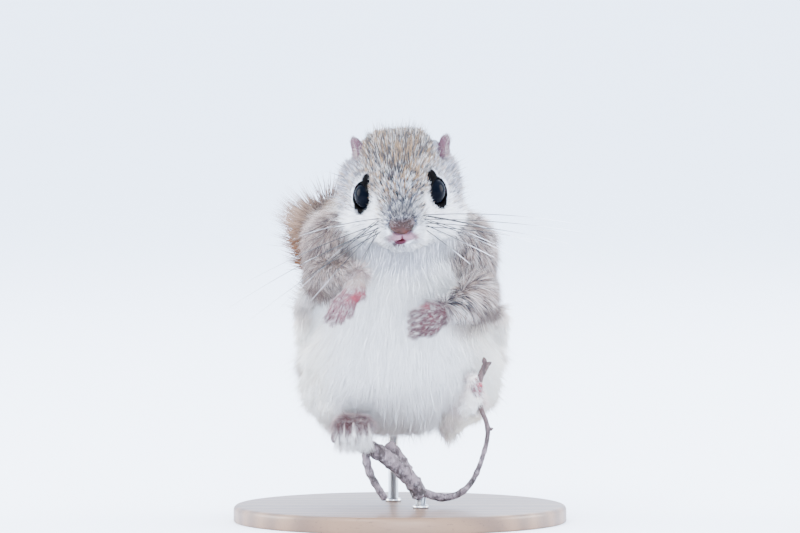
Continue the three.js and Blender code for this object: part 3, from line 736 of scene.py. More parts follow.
def eye_rim(eye, side):
    """1 on the black skin round an eye, which is drawn out above towards the brow."""
    out, aside, behind = eye_places(eye, side)
    wide = 5.05 - 0.7 * ramp(-0.2, 0.7, behind)
    ring = ramp(wide, wide - 0.25, aside) * ramp(0.3, 1.2, out) * ramp(7.0, 6.5, np.linalg.norm(eye, axis=1))
    brow = gap(eye, [1.0 * side, -1.2, 4.1], [1.6 if side < 0 else 1.3, 0.8, 0.9])
    low = gap(eye, [3.4 * side, -2.3, -2.5], [0.95, 0.9, 1.0])
    return np.maximum(ring, np.maximum(ramp(2.9, 2.6, brow), ramp(2.9, 2.65, low)))


def arm_edge(points, normals, weights):
    """1 along the dark lower edge of the forearms, where the gliding skin starts; it follows the side that
    faces down, so it is dark hair and painted shade.
    """
    low = ramp(-0.1, -0.6, normals[:, 2] + 0.25 * waves(points, 5, 2))
    return low * part_of(weights, "forearm") * ramp(-10, 10, points[:, 0] + 18)


def bare_share(points, weights):
    """1 where pink skin shows: on the hands, the right foot's toes and one toe of the left foot."""
    pale = part_of(weights, "foot_left") * ramp(2.2, 2.8, gap(points, BARE_TOE_AT))
    streaks = waves(points * [1, 0.4, 0.15], 1.6, 61)
    high = points[:, 2] + 2.0 * streaks - 0.12 * points[:, 0] - 1.6
    pale += part_of(weights, "foot_right") * ramp(31.0, 27.5, high)
    return part_of(weights, *BARE) * (1 - pale)


def markings(points, normals, weights):
    """The coat's colour at each place, as sRGB numbers."""
    colour = limb_markings(body_markings(points, normals, weights), points, weights)
    t, away, _, _, aside = tail_place(points)
    tail = mixed(TAIL, TAIL_DARK, ramp(0.35, 1.0, np.abs(aside) / 7) * 0.5)
    tail = mixed(tail, TAIL_END, 0.9 * ramp(0.72, 0.9, t))
    return mixed(colour, tail, ramp(10.5, 8.0, away) * ramp(26, 31, points[:, 1]))


def body_markings(points, normals, weights):
    """White and cream below, grey-brown arms and back, then the head over them."""
    x, y, z = points.T
    back = ramp(3.0, 11.0, y + 0.12 * np.abs(x) + 1.5 * waves(points, 16, 1)) * ramp(28, 36, z)
    colour = mixed(WHITE, BACK, back)
    low = ramp(52, 34, z) * ramp(0, -25, x) * (1 - back)
    flank = ramp(12, 24, np.abs(x)) * ramp(72, 62, z) * (1 - back)
    colour = mixed(colour, CREAM, np.maximum(0.55 * low, 0.7 * flank))
    arm = part_of(weights, *ARMS) * np.where(x > 0, ramp(60.0, 62.0, z), ramp(66.5, 68.5, z))
    under = ramp(0.1, -0.6, normals[:, 2]) * ramp(-14, -24, y)
    darker = np.where(x > 0, 0.035, 0.01 + 0.06 * ramp(76, 84, z))[:, None]
    colour = mixed(colour, ARM - darker, arm * (1 - 0.5 * under))
    # dark hair and painted shade along the forearms' lower, down-facing edge
    colour = mixed(colour, EDGE, 0.7 * arm_edge(points, normals, weights))
    # painted shade between tail and arm: the right upper arm's outer side is turned dark brown
    colour = mixed(colour, EDGE, 0.6 * part_of(weights, "upper_arm_right") * ramp(-25.5, -28.5, x))
    neck, gliding = part_of(weights, "neck"), part_of(weights, "gliding")
    # painted shadow under the chin: the throat is turned bluish grey
    under_chin_shade = neck * ramp(72, 80, z) * ramp(-6, -14, y)
    colour = mixed(colour, UNDER_CHIN_SHADE, 0.6 * under_chin_shade)
    colour = mixed(colour, EDGE, 0.35 * gliding * ramp(-20, -6, y) * ramp(60, 66, z))
    colour = mixed(colour, BACK, 0.6 * gliding * ramp(7, 13, y))
    nape = ramp(1, 8, y) * ramp(78, 86, z) * part_of(weights, "torso", "neck")
    colour = mixed(colour, mixed(BACK, CROWN, ramp(90, 100, z)), nape)
    return head_markings(colour, points, part_of(weights, "head"))


def head_markings(colour, points, head):
    """Grey-brown crown and bridge, pale cheeks and rings round the eyes, black rims, lips and mouth."""
    h = to_head(points)
    hx, hy, hz = h.T
    aside = np.abs(hx)
    crown = ramp(-1.5, 3.5, hz + 0.25 * hy - 0.02 * hx ** 2 + 0.8 * waves(points, 9, 3))
    crown = np.maximum(crown, ramp(6, 10, hy) * ramp(-14, -8, hz))
    top = mixed(TEMPLE, CROWN, ramp(13.5, 8.0, aside) + ramp(7, 13, hy))
    top = mixed(top, BACK, ramp(3, -7, hz) * ramp(4, 9, hy))
    behind = 0.9 * ramp(5.5, 8.5, hy) * np.maximum(ramp(2, -4, hz), ramp(7, 9, aside))
    face = mixed(mixed(CHEEK, top, crown), BACK, behind)
    # grey on the sides of the head beside and behind the eyes: partly grey fur, partly painted shade
    temple = ramp(8.0, 12.0, aside) * ramp(-7.0, -1.0, hz + 0.8 * waves(points, 7, 4))
    face = mixed(face, TEMPLE, 0.8 * temple * ramp(-8, -3, hy))
    bridge = ramp(7.5, 3.0, aside) * ramp(-10, -14.5, hy) * ramp(-4.6, -1.6, hz)
    colour = mixed(colour, mixed(face, BRIDGE, bridge), head)
    for side in SIDES:
        eye = h - sided(EYE_AT, side)
        colour = mixed(colour, CHEEK, 0.45 * head * ramp(9.0, 6.5, gap(eye, 0, [1, 1, 0.8])))
        colour = mixed(colour, RIM, eye_rim(eye, side) * ramp(0.2, 0.6, head))
    pads = gap(h, [0, -19.0, -6.6], [0.62, 0.6, 1.2])
    colour = mixed(colour, LIP, 0.9 * ramp(2.9, 2.0, pads) * head)
    lip = gap(h, [-SEAM, -17.8, -8.35], [0.85, 0.7, 1.4])
    colour = mixed(colour, LOWER_LIP, ramp(2.0, 1.3, lip) * head)
    slit = gap(h, [-SEAM, -19.2, -7.5], [0.7, 0.5, 1.9])
    cleft = gap(h, [-0.2, -20.0, -6.9], [2.6, 0.6, 0.8])
    colour = mixed(colour, MOUTH, np.maximum(ramp(1.25, 0.8, slit), 0.8 * ramp(1.2, 0.7, cleft)) * head)
    leather = gap(h - NOSE_AT, [0.4, 0.4, 1.6], [0.8, 0.6, 0.9])
    shade = 0.75 * ramp(3.3, 2.2, leather) * ramp(-1.0, 0.8, hz - NOSE_AT[2])
    colour = mixed(colour, NOSE_SHADE, shade * head)
    ear_root = np.where(hx > 0, EAR_AT[1][2], EAR_AT[-1][2])
    return mixed(colour, EAR, on_ears(h) * ramp(-3.6, -1.6, hz - ear_root))


def limb_markings(colour, points, weights):
    """Pink hands and toes with their pads, and the furred heel of the left foot."""
    z = points[:, 2]
    flesh = mixed(PINK, PAD, 0.22 + 0.25 * waves(points, 3, 7))
    flesh = mixed(flesh, SOLE, 0.8 * part_of(weights, "foot_right"))
    flesh = flesh * (1 - 0.32 * part_of(weights, "hand_left"))[:, None]
    colour = mixed(colour, flesh, bare_share(points, weights))
    colour = mixed(colour, PAD * 1.1, ramp(2.2, 1.4, gap(points, BARE_TOE_AT)))
    heel = part_of(weights, "foot_left", "shank_left") * ramp(35.5, 32.5, z)
    colour = mixed(colour, HEEL, 0.8 * heel)
    for at, size in THUMB_PADS:
        colour = mixed(colour, PAD, ramp(size, size - 0.8, gap(points, at)))
    colour = mixed(colour, ARM, part_of(weights, "hand_right") * ramp(70.5, 73.5, z))
    return mixed(colour, PAD, 0.7 * ramp(1.9, 1.1, gap(points, LEFT_PAD_AT)))


skin_weights = sample(shares, skin_points)
skin_colour = markings(skin_points, skin_normals, skin_weights)


# Meshes with colours and a map

MAP_WIDE = 118.0
MAP_MIDDLE = np.array([0, 4, 70.0])


def unwrap(points, normals):
    """Six charts of the body's own shape, one for each way that it faces, side by side in one square."""
    axis = np.abs(normals).argmax(1)
    sign = normals[np.arange(len(normals)), axis] > 0
    local = (points - MAP_MIDDLE) / MAP_WIDE + 0.5
    first = np.where(axis == 0, local[:, 1], local[:, 0])
    second = np.where(axis == 2, local[:, 1], local[:, 2])
    row = np.where(sign, 0.5, 0.0)
    return np.stack([axis / 3 + first / 3, row + second / 2], 1).clip(0.001, 0.999)


def make_mesh(name, points, faces, colours=None, uv=None):
    """A smooth mesh from places in mm, with a colour at each point and a map place at each corner."""
    me = bpy.data.meshes.new(name)
    me.vertices.add(len(points))
    me.vertices.foreach_set("co", (np.asarray(points) * MM).astype(np.float32).ravel())
    sides = faces.shape[1]
    me.loops.add(faces.size)
    me.loops.foreach_set("vertex_index", faces.astype(np.int32).ravel())
    me.polygons.add(len(faces))
    me.polygons.foreach_set("loop_start", np.arange(0, faces.size, sides, dtype=np.int32))
    me.polygons.foreach_set("use_smooth", np.ones(len(faces), bool))
    if uv is not None:
        layer = me.uv_layers.new(name="OFBake", do_init=False)
        layer.uv.foreach_set("vector", np.asarray(uv, np.float32).ravel())
    if colours is not None:
        shown = np.ones((len(points), 4), np.float32)
        shown[:, :3] = linear(colours)
        layer = me.attributes.new("coat_colour", "FLOAT_COLOR", "POINT")
        layer.data.foreach_set("color", shown.ravel())
    me.update(calc_edges=True)
    me.validate()
    ob = bpy.data.objects.new(name, me)
    bpy.context.collection.objects.link(ob)
    return ob


def place(ob, material, slot, *nodes):
    """Gives a piece its material and the body it rides on, and hides the nodes that it replaces. The slot is
    not used.
    """
    ob.data.materials.append(material.made)
    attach(ob, "root")
    if nodes:
        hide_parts(*nodes)
    return ob


# Materials. A small class lets shader maths be written as plain expressions.


class Socket:
    def __init__(self, tree, out):
        self.tree, self.out = tree, out

    def maths(self, operation, *others, swap=False):
        node = self.tree.nodes.new("ShaderNodeMath")
        node.operation = operation
        values = [self, *others]
        for slot, value in zip(node.inputs, values[::-1] if swap else values):
            feed(self.tree, slot, value)
        return Socket(self.tree, node.outputs[0])

    def __add__(self, other):
        return self.maths("ADD", other)

    def __sub__(self, other):
        return self.maths("SUBTRACT", other)

    def __mul__(self, other):
        return self.maths("MULTIPLY", other)

    def __truediv__(self, other):
        return self.maths("DIVIDE", other)

    def __pow__(self, other):
        return self.maths("POWER", other)

    def __rsub__(self, other):
        return self.maths("SUBTRACT", other, swap=True)

    def __rtruediv__(self, other):
        return self.maths("DIVIDE", other, swap=True)

    __radd__ = __add__
    __rmul__ = __mul__

    def between(self, low, high):
        """0 below low and 1 above high."""
        return ((self - low) / (high - low)).maths("MAXIMUM", 0.0).maths("MINIMUM", 1.0)


def feed(tree, slot, value):
    if isinstance(value, Socket):
        tree.links.new(value.out, slot)
    else:
        slot.default_value = value


class Nodes:
    """The nodes of one material, or of the sky."""

    def __init__(self, tree):
        self.tree = tree

    def node(self, kind, out=0, settings=None, **values):
        node = self.tree.nodes.new("ShaderNode" + kind)
        for name, value in (settings or {}).items():
            setattr(node, name, value)
        for name, value in values.items():
            feed(self.tree, node.inputs[name.replace("_", " ")], value)
        return Socket(self.tree, node.outputs[out])

    def where(self):
        return self.node("TexCoord", out="Object")

    def noise(self, scale, detail=3.0, rough=0.5, vector=None, stretch=None):
        at = vector or self.where()
        if stretch:
            at = self.node("Mapping", Vector=at, Scale=stretch)
        return self.node("TexNoise", Vector=at, Scale=scale, Detail=detail, Roughness=rough)

    def mix(self, a, b, share):
        node = self.tree.nodes.new("ShaderNodeMix")
        node.data_type = "RGBA"
        for slot, value in zip((node.inputs[6], node.inputs[7], node.inputs[0]), (a, b, share)):
            feed(self.tree, slot, value)
        return Socket(self.tree, node.outputs[2])


class Material(Nodes):
    def __init__(self, name, **settings):
        self.made = bpy.data.materials.new(name)
        self.made.use_nodes = True
        super().__init__(self.made.node_tree)
        self.shader = self.tree.nodes["Principled BSDF"]
        self.set(**settings)

    def set(self, **settings):
        for name, value in settings.items():
            feed(self.tree, self.shader.inputs[name.replace("_", " ")], value)

    def bump(self, height, strength, distance_m):
        self.set(Normal=self.node("Bump", Height=height, Strength=strength, Distance=distance_m))

    def along(self, axis):
        """How far each place lies along one axis, in metres."""
        return self.node("SeparateXYZ", out="XYZ".index(axis), Vector=self.where())

    def painted(self):
        """The colour that the mesh carries at each point."""
        return self.node("Attribute", settings={"attribute_name": "coat_colour"})


def rgba(red, green, blue):
    return (*linear(np.array([red, green, blue])).tolist(), 1.0)


coat = Material("winter coat", Roughness=0.75, Specular_IOR_Level=0.15)
coat.set(Sheen_Weight=0.08, Sheen_Roughness=0.4)
hair = coat.painted()
streak = coat.noise(420.0, detail=2.0).between(0.3, 0.7)
coat.set(Base_Color=coat.mix(hair, coat.node("HueSaturation", Color=hair, Value=0.86), streak * 0.5))

skin = Material("skin under the coat", Roughness=0.6, Specular_IOR_Level=0.01)
skin.set(Subsurface_Weight=0.08, Subsurface_Scale=0.002)
hue = skin.painted()
mottle = skin.noise(900.0, detail=3.0)
skin.set(Base_Color=skin.mix(hue, skin.node("HueSaturation", Color=hue, Value=0.75), mottle * 0.6))
skin.bump(mottle + 0.6 * skin.noise(2600.0, detail=2.0), 0.35, 0.0003)

NOSE_LOW = (from_head(NOSE_AT)[2] - 1.4) * MM  # where the dark upper part of the leather begins
nose_leather = Material("nose leather", Roughness=0.5, Specular_IOR_Level=0.25)
nose_leather.set(Subsurface_Weight=0.15, Subsurface_Scale=0.001)
grain = nose_leather.node("TexVoronoi", Vector=nose_leather.where(), Scale=2600.0)
warm = nose_leather.noise(500.0).between(0.35, 0.65)
leather = nose_leather.mix(rgba(0.245, 0.108, 0.085), rgba(0.175, 0.085, 0.072), warm)
across, up = nose_leather.along("X"), nose_leather.along("Z")
wing = ((across * across) ** 0.5).between(0.0020, 0.0036)
leather = nose_leather.mix(leather, rgba(0.12, 0.09, 0.07), wing * 0.8)
dark_top = up.between(NOSE_LOW - 0.0004, NOSE_LOW + 0.0024)
nose_leather.set(Base_Color=nose_leather.mix(leather, rgba(0.065, 0.045, 0.045), dark_top))
nose_leather.bump(grain, 0.5, 0.00012)

eye_gloss = Material("eye", Roughness=0.05, IOR=1.3, Specular_IOR_Level=0.035)
# the near-black eye is tinted navy, with lighter blue blotches: painted reflection of the blue sky
reflection_blotches = eye_gloss.noise(700.0, detail=2.0)
iris_and_sky_reflection = eye_gloss.mix(rgba(0.008, 0.015, 0.035), rgba(0.03, 0.038, 0.065), reflection_blotches.between(0.45, 0.7) * 0.5)
eye_gloss.set(Base_Color=iris_and_sky_reflection)

horn = Material("claw horn", Roughness=0.35, Coat_Weight=0.2)
streak = horn.noise(900.0).between(0.35, 0.65)
horn.set(Base_Color=horn.mix(rgba(0.52, 0.43, 0.40), rgba(0.30, 0.25, 0.24), streak))

bristle = Material("whisker", Roughness=0.4)
bristle.set(Base_Color=bristle.painted())

bark = Material("twig bark", Roughness=0.9)
coarse_bark = bark.noise(260.0, detail=5.0, rough=0.65)
fine_bark = bark.noise(1500.0, detail=4.0, rough=0.6, stretch=(1, 1, 0.35))
ridge = bark.noise(700.0, detail=2.0, stretch=(1, 1, 0.25))
tone = bark.mix(rgba(0.17, 0.14, 0.145), rgba(0.41, 0.36, 0.38), coarse_bark.between(0.42, 0.58))
tone = bark.mix(tone, rgba(0.68, 0.65, 0.68), fine_bark.between(0.56, 0.70) * 0.4)
red_top = bark.mix(tone, rgba(0.28, 0.20, 0.19), 0.75)
tone = bark.mix(tone, red_top, bark.along("Z").between(0.020, 0.034))
bark.set(Base_Color=bark.mix(tone, rgba(0.17, 0.13, 0.135), ridge.between(0.56, 0.66) * 0.8))
bark.bump(coarse_bark * 0.8 + fine_bark * 0.4 - ridge.between(0.5, 0.7) * 0.4, 0.8, 0.0005)

wood = Material("turned wood", Roughness=0.5, Coat_Weight=0.25, Coat_Roughness=0.25)
grain_at = wood.node("Mapping", Vector=wood.where(), Scale=(3.0, 30.0, 30.0))
warp = wood.noise(1.6, detail=4.0, vector=grain_at)
ring = wood.node(
    "TexWave", settings={"bands_direction": "Y"}, Vector=grain_at, Scale=1.1, Distortion=6.0, Detail=3.0
)
pore = wood.noise(60.0, detail=2.0, vector=grain_at)
tone = wood.mix(rgba(0.44, 0.32, 0.225), rgba(0.30, 0.205, 0.14), ring * 0.7 + warp * 0.3)
wood.set(Base_Color=wood.mix(tone, rgba(0.24, 0.16, 0.11), pore.between(0.62, 0.75) * 0.6))
wood.set(Roughness=0.42 + 0.2 * pore)
wood.bump(pore, 0.25, 0.0001)

steel = Material("satin steel", Metallic=1.0, Base_Color=rgba(0.74, 0.74, 0.75))
brushed = steel.noise(900.0, detail=3.0, stretch=(1, 1, 0.02))
steel.set(Roughness=0.24 + 0.2 * brushed)
steel.bump(brushed, 0.15, 0.00005)

floor_paper = Material("studio floor", Roughness=0.9)
paper = floor_paper.mix(rgba(0.96, 0.965, 0.985), rgba(0.95, 0.955, 0.98), floor_paper.noise(3.0))
floor_paper.set(Base_Color=paper)

corners = np.vstack(corners)
chart = unwrap(corners, np.tile(unit(face_cross), (3, 1))).reshape(3, -1, 2).transpose(1, 0, 2)
skin_piece = make_mesh("skin", skin_points, skin_faces, skin_colour * 0.92, chart)
place(skin_piece, skin, "fur_white", *REGIONS, "tail_base", "tail_middle", "tail_tip")


# The coat in tufts

MOST_IN_PIECE = 190000
MOST_TUFTS = 340000
MOST_TAIL_TUFTS = 31000
LONGEST = 9.5
# every tuft has a kind from 0 to 1: the lowest are dark, then come buff ones, and the highest are light
DARK_UP_TO, BUFF_UP_TO, LIGHT_FROM = 0.42, 0.62, 0.66
FOREARM_EDGES = (63.0, 70.2)  # the dark lower edges of the left and the right forearm
BANDS_END = 61.2  # the left forearm's hair ends above this height
CELLS = 4096
CELL_STEPS = np.array([73, 179, 283])


def roots_on_skin(density, most):
    """Random places on the skin, so many to a square millimetre of each face."""
    area = np.linalg.norm(face_cross, axis=1) / 2
    want = area * density
    want *= min(1.0, most / want.sum()) * SHARE
    count = RANDOM.poisson(want)
    pick = np.repeat(np.arange(len(skin_faces)), count)
    a, b = RANDOM.random((2, len(pick)))
    flip = a + b > 1
    a, b = np.where(flip, 1 - a, a), np.where(flip, 1 - b, b)
    share = np.stack([1 - a - b, a, b], 1)
    corner = skin_faces[pick]
    root, normal = (np.einsum("ij,ijk->ik", share, values[corner]) for values in (skin_points, skin_normals))
    return root, unit(normal)


def tone_at(colours, t):
    """Root, middle and tip colours blended at that share of the length."""
    low, middle, tip = colours
    if t < 0.5:
        return low + (middle - low) * (t / 0.5)
    return middle + (tip - middle) * ((t - 0.5) / 0.5)


# by the number of rings: where each ring and the tip stand on the length, and how thick they are
STAGES = {1: (0, 1), 2: (0, 0.42, 1)}
TAPERS = {1: (0.9, 0.0), 2: (0.75, 1.0, 0.0)}
TUFT_CORNERS = ((-1, -0.2), (1, -0.2), (0, 0.55))


def tuft_mesh(name, root, normal, lie, size, colours, rings, slot):
    """Tapered three-sided tufts. size holds length, width, rise and bend; colours go from root to tip."""
    length, width, rise, bend = (s[:, None] for s in size)
    side = unit(np.cross(normal, lie))
    verts, tones, flats = [], [], []
    place_uv = unwrap(root, normal)
    for t, girth in zip(STAGES[rings], TAPERS[rings]):
        centre = (
            root
            - 0.35 * normal * (1 - t)
            + lie * length * np.cos(rise) * t * (0.75 + 0.25 * t)
            + normal * length * np.sin(rise) * t * (1.5 - 0.5 * t)
            + side * bend * t * t
        )
        for a, b in TUFT_CORNERS if girth else [(0, 0)]:
            verts.append(centre + (side * a + normal * b) * width * girth / 2)
            tones.append(tone_at(colours, t))
            flats.append(place_uv + np.array([0.0014 * a, 0.003 * (t - 0.5)]))
    per = len(verts)
    points, tones, flats = (np.stack(v, 1).reshape(-1, v[0].shape[1]) for v in (verts, tones, flats))
    pattern = []
    for r in range(rings - 1):
        for k in range(3):
            a, b = 3 * r + k, 3 * r + (k + 1) % 3
            pattern += [(a, b, b + 3), (a, b + 3, a + 3)]
    last = 3 * (rings - 1)
    pattern += [(last + k, last + (k + 1) % 3, per - 1) for k in range(3)]
    faces = (np.array(pattern)[None] + per * np.arange(len(root))[:, None, None]).reshape(-1, 3)
    ob = make_mesh(name, points, faces, tones, flats[faces.ravel()])
    return place(ob, coat, slot)


def spread(name, root, normal, lie, size, colours, rings, slot):
    """Tufts in pieces with fewer triangles than the limit, each piece from one band of height."""
    each = 6 * (rings - 1) + 3
    pieces = max(1, math.ceil(len(root) * each / MOST_IN_PIECE))
    order = np.argsort(-root[:, 2])
    for i, part in enumerate(np.array_split(order, pieces)):
        label = name if pieces == 1 else f"{name}_{i + 1}"
        sizes = [s[part] for s in size]
        tuft_mesh(label, root[part], normal[part], lie[part], sizes, [c[part] for c in colours], rings, slot)


def cell_key(root, cell):
    """Each place's cell of a grid: its number from 0 up to CELLS, and its index."""
    index = np.floor(root / cell).astype(int)
    return index @ CELL_STEPS % CELLS, index


def in_strands(root, cell, seed):
    """A number from 0 to 1 that neighbours share."""
    return np.random.default_rng(seed).random(CELLS)[cell_key(root, cell)[0]]


def gathered(root, lie, normal, length, cell, pull, seed):
    """Turns the tufts of one neighbourhood a little towards each other, as fur parts into locks."""
    jitter = np.random.default_rng(seed).uniform(-0.5, 0.5, (CELLS, 3))
    key, index = cell_key(root, cell)
    centre = (index + 0.5 + 0.6 * jitter[key]) * cell
    ahead = centre + lie * length[:, None] * 0.8 - root
    ahead -= normal * dot(ahead, normal)
    pull = (pull * ramp(0.5 * cell, 1.6 * cell, length))[:, None]
    return unit(lie * (1 - pull) + pull * ahead / np.maximum(length, 1e-6)[:, None])


def by_region(weights, column):
    """A number of the coat's table at each place, blended between the regions."""
    return (weights * np.array([COAT[n][column] for n in REGIONS])[:, None]).sum(0)


def lie_of(root, normal, weights):
    """The way the fur lies: back from the nose on the head, by the table elsewhere."""
    x, _, z = root.T
    away = unit(to_head(root) - np.array([0, -21, -5.0]))
    away[:, 1] += 0.35
    ways = np.array([COAT[n][4] for n in REGIONS], float)
    way = unit(ways)[:, None, :] * weights[:, :, None]
    total = way[1:].sum(0) + unit(away) @ HEAD_TURN.T * part_of(weights, "head")[:, None]
    # on the left forearm it sweeps out from the wrist and bends down to the lower edge
    down = np.maximum(ramp(72.6, 65.0, z), ramp(23.4, 27.6, x))
    down = np.maximum(down, 0.8 * ramp(73.0, 79.0, z))
    sweep = mixed(np.array([0.85, -0.2, -0.5]), np.array([0.2, -0.25, -1.0]), down)
    elbow = part_of(weights, "upper_arm_left") * ramp(82, 77, z)
    total = mixed(total, unit(sweep), 0.95 * (part_of(weights, "forearm_left") + elbow))
    swirl = np.stack([waves(root, 13, seed) for seed in (21, 22, 23)], 1)
    total = unit(total) + (0.16 - 0.08 * part_of(weights, *ARMS))[:, None] * swirl
    return unit(total - normal * dot(total, normal))


def bare_places(h):
    """1 on the eyes' rims, the lips and the nose, where no fur grows."""
    rims = np.maximum(*(eye_rim(h - sided(EYE_AT, side), side) for side in SIDES))
    mouth = gap(h, [0, -18.8, -7.4], [0.55, 0.5, 0.85])
    nose = gap(h - NOSE_AT, [0, -1.0, -1.4], [0.85, 0.8, 1])
    return np.maximum(rims, np.maximum(ramp(1.9, 1.5, mouth), ramp(2.4, 2.1, nose)))


skin_tail_t, skin_tail_away = tail_place(skin_points)[:2]
on_tail = ramp(9.5, 7.5, skin_tail_away) * ramp(27, 31, skin_points[:, 1])


def coat_sizes(root, w):
    """Every tuft's length, width and rise."""
    count = len(root)
    h = to_head(root)
    hx, hy, hz = h.T
    aside = np.abs(hx)
    deep = sample(depth, root)
    on_head = part_of(w, "head")
    width = by_region(w, 1) * (1 - 0.4 * on_head * ramp(1.2, 0.4, deep)) * RANDOM.uniform(0.7, 1.3, count)
    rise = np.radians(by_region(w, 2)) * (1 - 0.35 * on_head * ramp(1.2, 0.5, deep))
    length = np.maximum(deep + 0.25, 0.5) / np.sin(rise) * RANDOM.uniform(0.75, 1.1, count)
    feet = 0.8 * part_of(w, "foot_right") + 0.2 * part_of(w, "hand") + 0.3 * part_of(w, "foot_left")
    fluff = on_head * ramp(9.0, 13.5, aside) * ramp(-6.0, -1.0, hy) * ramp(8.5, 4.5, hz)
    # short round the ears
    to_ear = np.minimum(*(gap(h, EAR_AT[side], [1, 0.7, 0.8]) for side in SIDES))
    by_ear = 0.65 * on_head * ramp(6.5, 4.2, to_ear) * ramp(8.0, 11.0, aside) * ramp(6.0, 9.0, hz)
    length = length * (1 - by_ear)
    length = np.minimum(length * (1 + 0.6 * feet + 0.12 * fluff), LONGEST)
    rise = rise * RANDOM.uniform(0.7, 1.2, count) + np.radians(6) * fluff
    # the fur of the left foot is trimmed where the twig comes out of the grip
    twig_line = along_stops(SIDE_TWIG, 60)[None, 24::2, :3]
    to_twig = np.linalg.norm(root[:, None] - twig_line + TWIG_DROP, axis=2).min(1)
    length = length * (1 - 0.7 * part_of(w, "foot_left") * ramp(3.2, 1.8, to_twig))
    # a few guard hairs stand out of the coat
    on_crown = on_head * ramp(7, 11, hz)
    length = length * (1 - on_crown * (0.12 + 0.3 * ramp(5.5, 10.5, aside)))
    guard = (RANDOM.random(count) < 0.05 + 0.02 * on_crown) & (deep > 0.8)
    length = np.where(guard, length * (1.35 + 0.2 * on_crown), length)
    rise = np.where(guard, np.minimum(rise * 1.35, 1.1), rise)
    return length, np.where(guard, width * 0.6, width), rise


def coat_tones(root, normal, w, end, banded, above):
    """Root, middle and tip colours. Single tufts are slate, buff or white, on head and limbs in strands."""
    count = len(root)
    h = to_head(root)
    hx, hy, _ = h.T
    x, y, z = root.T
    left = x > 0
    on_head, trunk, arms = part_of(w, "head"), part_of(w, *TRUNK), part_of(w, *ARMS)
    bare, hands = part_of(w, *BARE), part_of(w, "hand")
    strewn = RANDOM.normal(0, 1, root.shape) * [0, 1.5, 1.2] * (trunk * ramp(-6, 0, y))[:, None]
    tone = markings(root + strewn, normal, w)
    shade = RANDOM.normal(0, 0.035, (count, 1)) + 0.015 * waves(root, 4, 31)[:, None]
    tone = np.clip(tone * (1 + shade), 0, 0.97)
    bright = tone.mean(1)
    behind = on_head * ramp(3, 8, hy)
    grey = ramp(0.91, 0.78, bright) * on_head * ramp(0.1, 0.25, bright)
    grey = grey * (1 - 0.45 * ramp(9.5, 13.0, np.abs(hx)))
    grey = grey * (1 - 0.8 * behind) * ramp(2.8, 4.0, gap(h, [0, -19.0, -7.4], [0.9, 1, 1]))
    on_back = np.maximum(trunk, behind) * ramp(0.78, 0.6, bright)
    kind = RANDOM.random(count)
    strands = in_strands(root + 0.25 * waves(root, 1.5, 33)[:, None], 0.55, 9)
    kind = np.where(RANDOM.random(count) < 0.78 * (on_head + arms + bare), strands, kind)
    slate = SLATE * (1 - 0.3 * ramp(-8, -14, hy))[:, None]
    mid = mixed(tone, slate, 0.95 * grey * (kind < DARK_UP_TO))
    buff = (kind > DARK_UP_TO) & (kind < BUFF_UP_TO)
    mid = mixed(mid, BUFF, 0.9 * grey * ramp(-18.5, -14.5, hy) * buff)
    mid = mixed(mid, EDGE, 0.5 * on_back * (kind < 0.3))
    # bands on the left forearm, and dark hair on both arms; along the forearms' lower edge, dark hair and
    # painted shade
    strands = in_strands(root * [1, 1, 0.2] + 0.4 * waves(root, 3, 34)[:, None], 0.7, 10)
    kind = np.where(RANDOM.random(count) < 0.7 * banded, strands, kind)
    dark = np.maximum(arm_edge(root, normal, w), (0.6 + 0.25 * left) * arms) * above
    banded = banded * above
    mid = mixed(mid, SLATE, np.maximum(0.85 * dark, 0.95 * banded) * (kind < 0.36 + 0.08 * banded))
    white_head = 0.85 * grey * (kind > 0.85 - 0.17 * ramp(-11, -15, hy))
    white_arm = np.maximum(0.8 * dark, 0.9 * banded) * (kind > LIGHT_FROM)
    tip = mixed(mid, WHITE, np.maximum(white_head, white_arm))
    tip = np.minimum(mixed(tip, BACK_TIP, 0.55 * on_back * (kind > LIGHT_FROM)) * 1.05, 0.97)
    # the lowest hair tips on the forearms are dark brown: dark hair, and painted shade over the belly under
    # them
    lowest = ramp(0.6, -0.4, end - np.where(left, *FOREARM_EDGES))
    tip = mixed(tip, EDGE, 0.75 * lowest * ramp(0.35, 0.6, arms) * ramp(-24.5, -19.5, y))
    # streaks over the bare skin of hands and feet
    pad = ramp(1.2, 2.2, gap(root, THUMB_PADS[0][0]))
    pale = np.where(kind > 0.52 + 0.1 * hands, 0.8, 0.1) * (1 - 0.2 * hands) * pad
    pale = pale * (1 - 0.62 * part_of(w, "foot_right") * ramp(28.5, 31, z))
    low = mixed(mid, SOLE, bare_share(root, w))
    mid = mixed(mid, SOLE, 0.85 * hands * (kind < 0.38) * pad)
    ears = on_ears(h)
    mid = mixed(mid, WHITE, pale * bare + 0.15 * ears)
    tip = mixed(tip, WHITE, (0.2 + pale) * bare + 0.3 * ears)
    low = mixed(low * 0.93, SLATE, 0.45 * ramp(0.86, 0.62, bright) * (grey > 0))
    return low, mid, tip


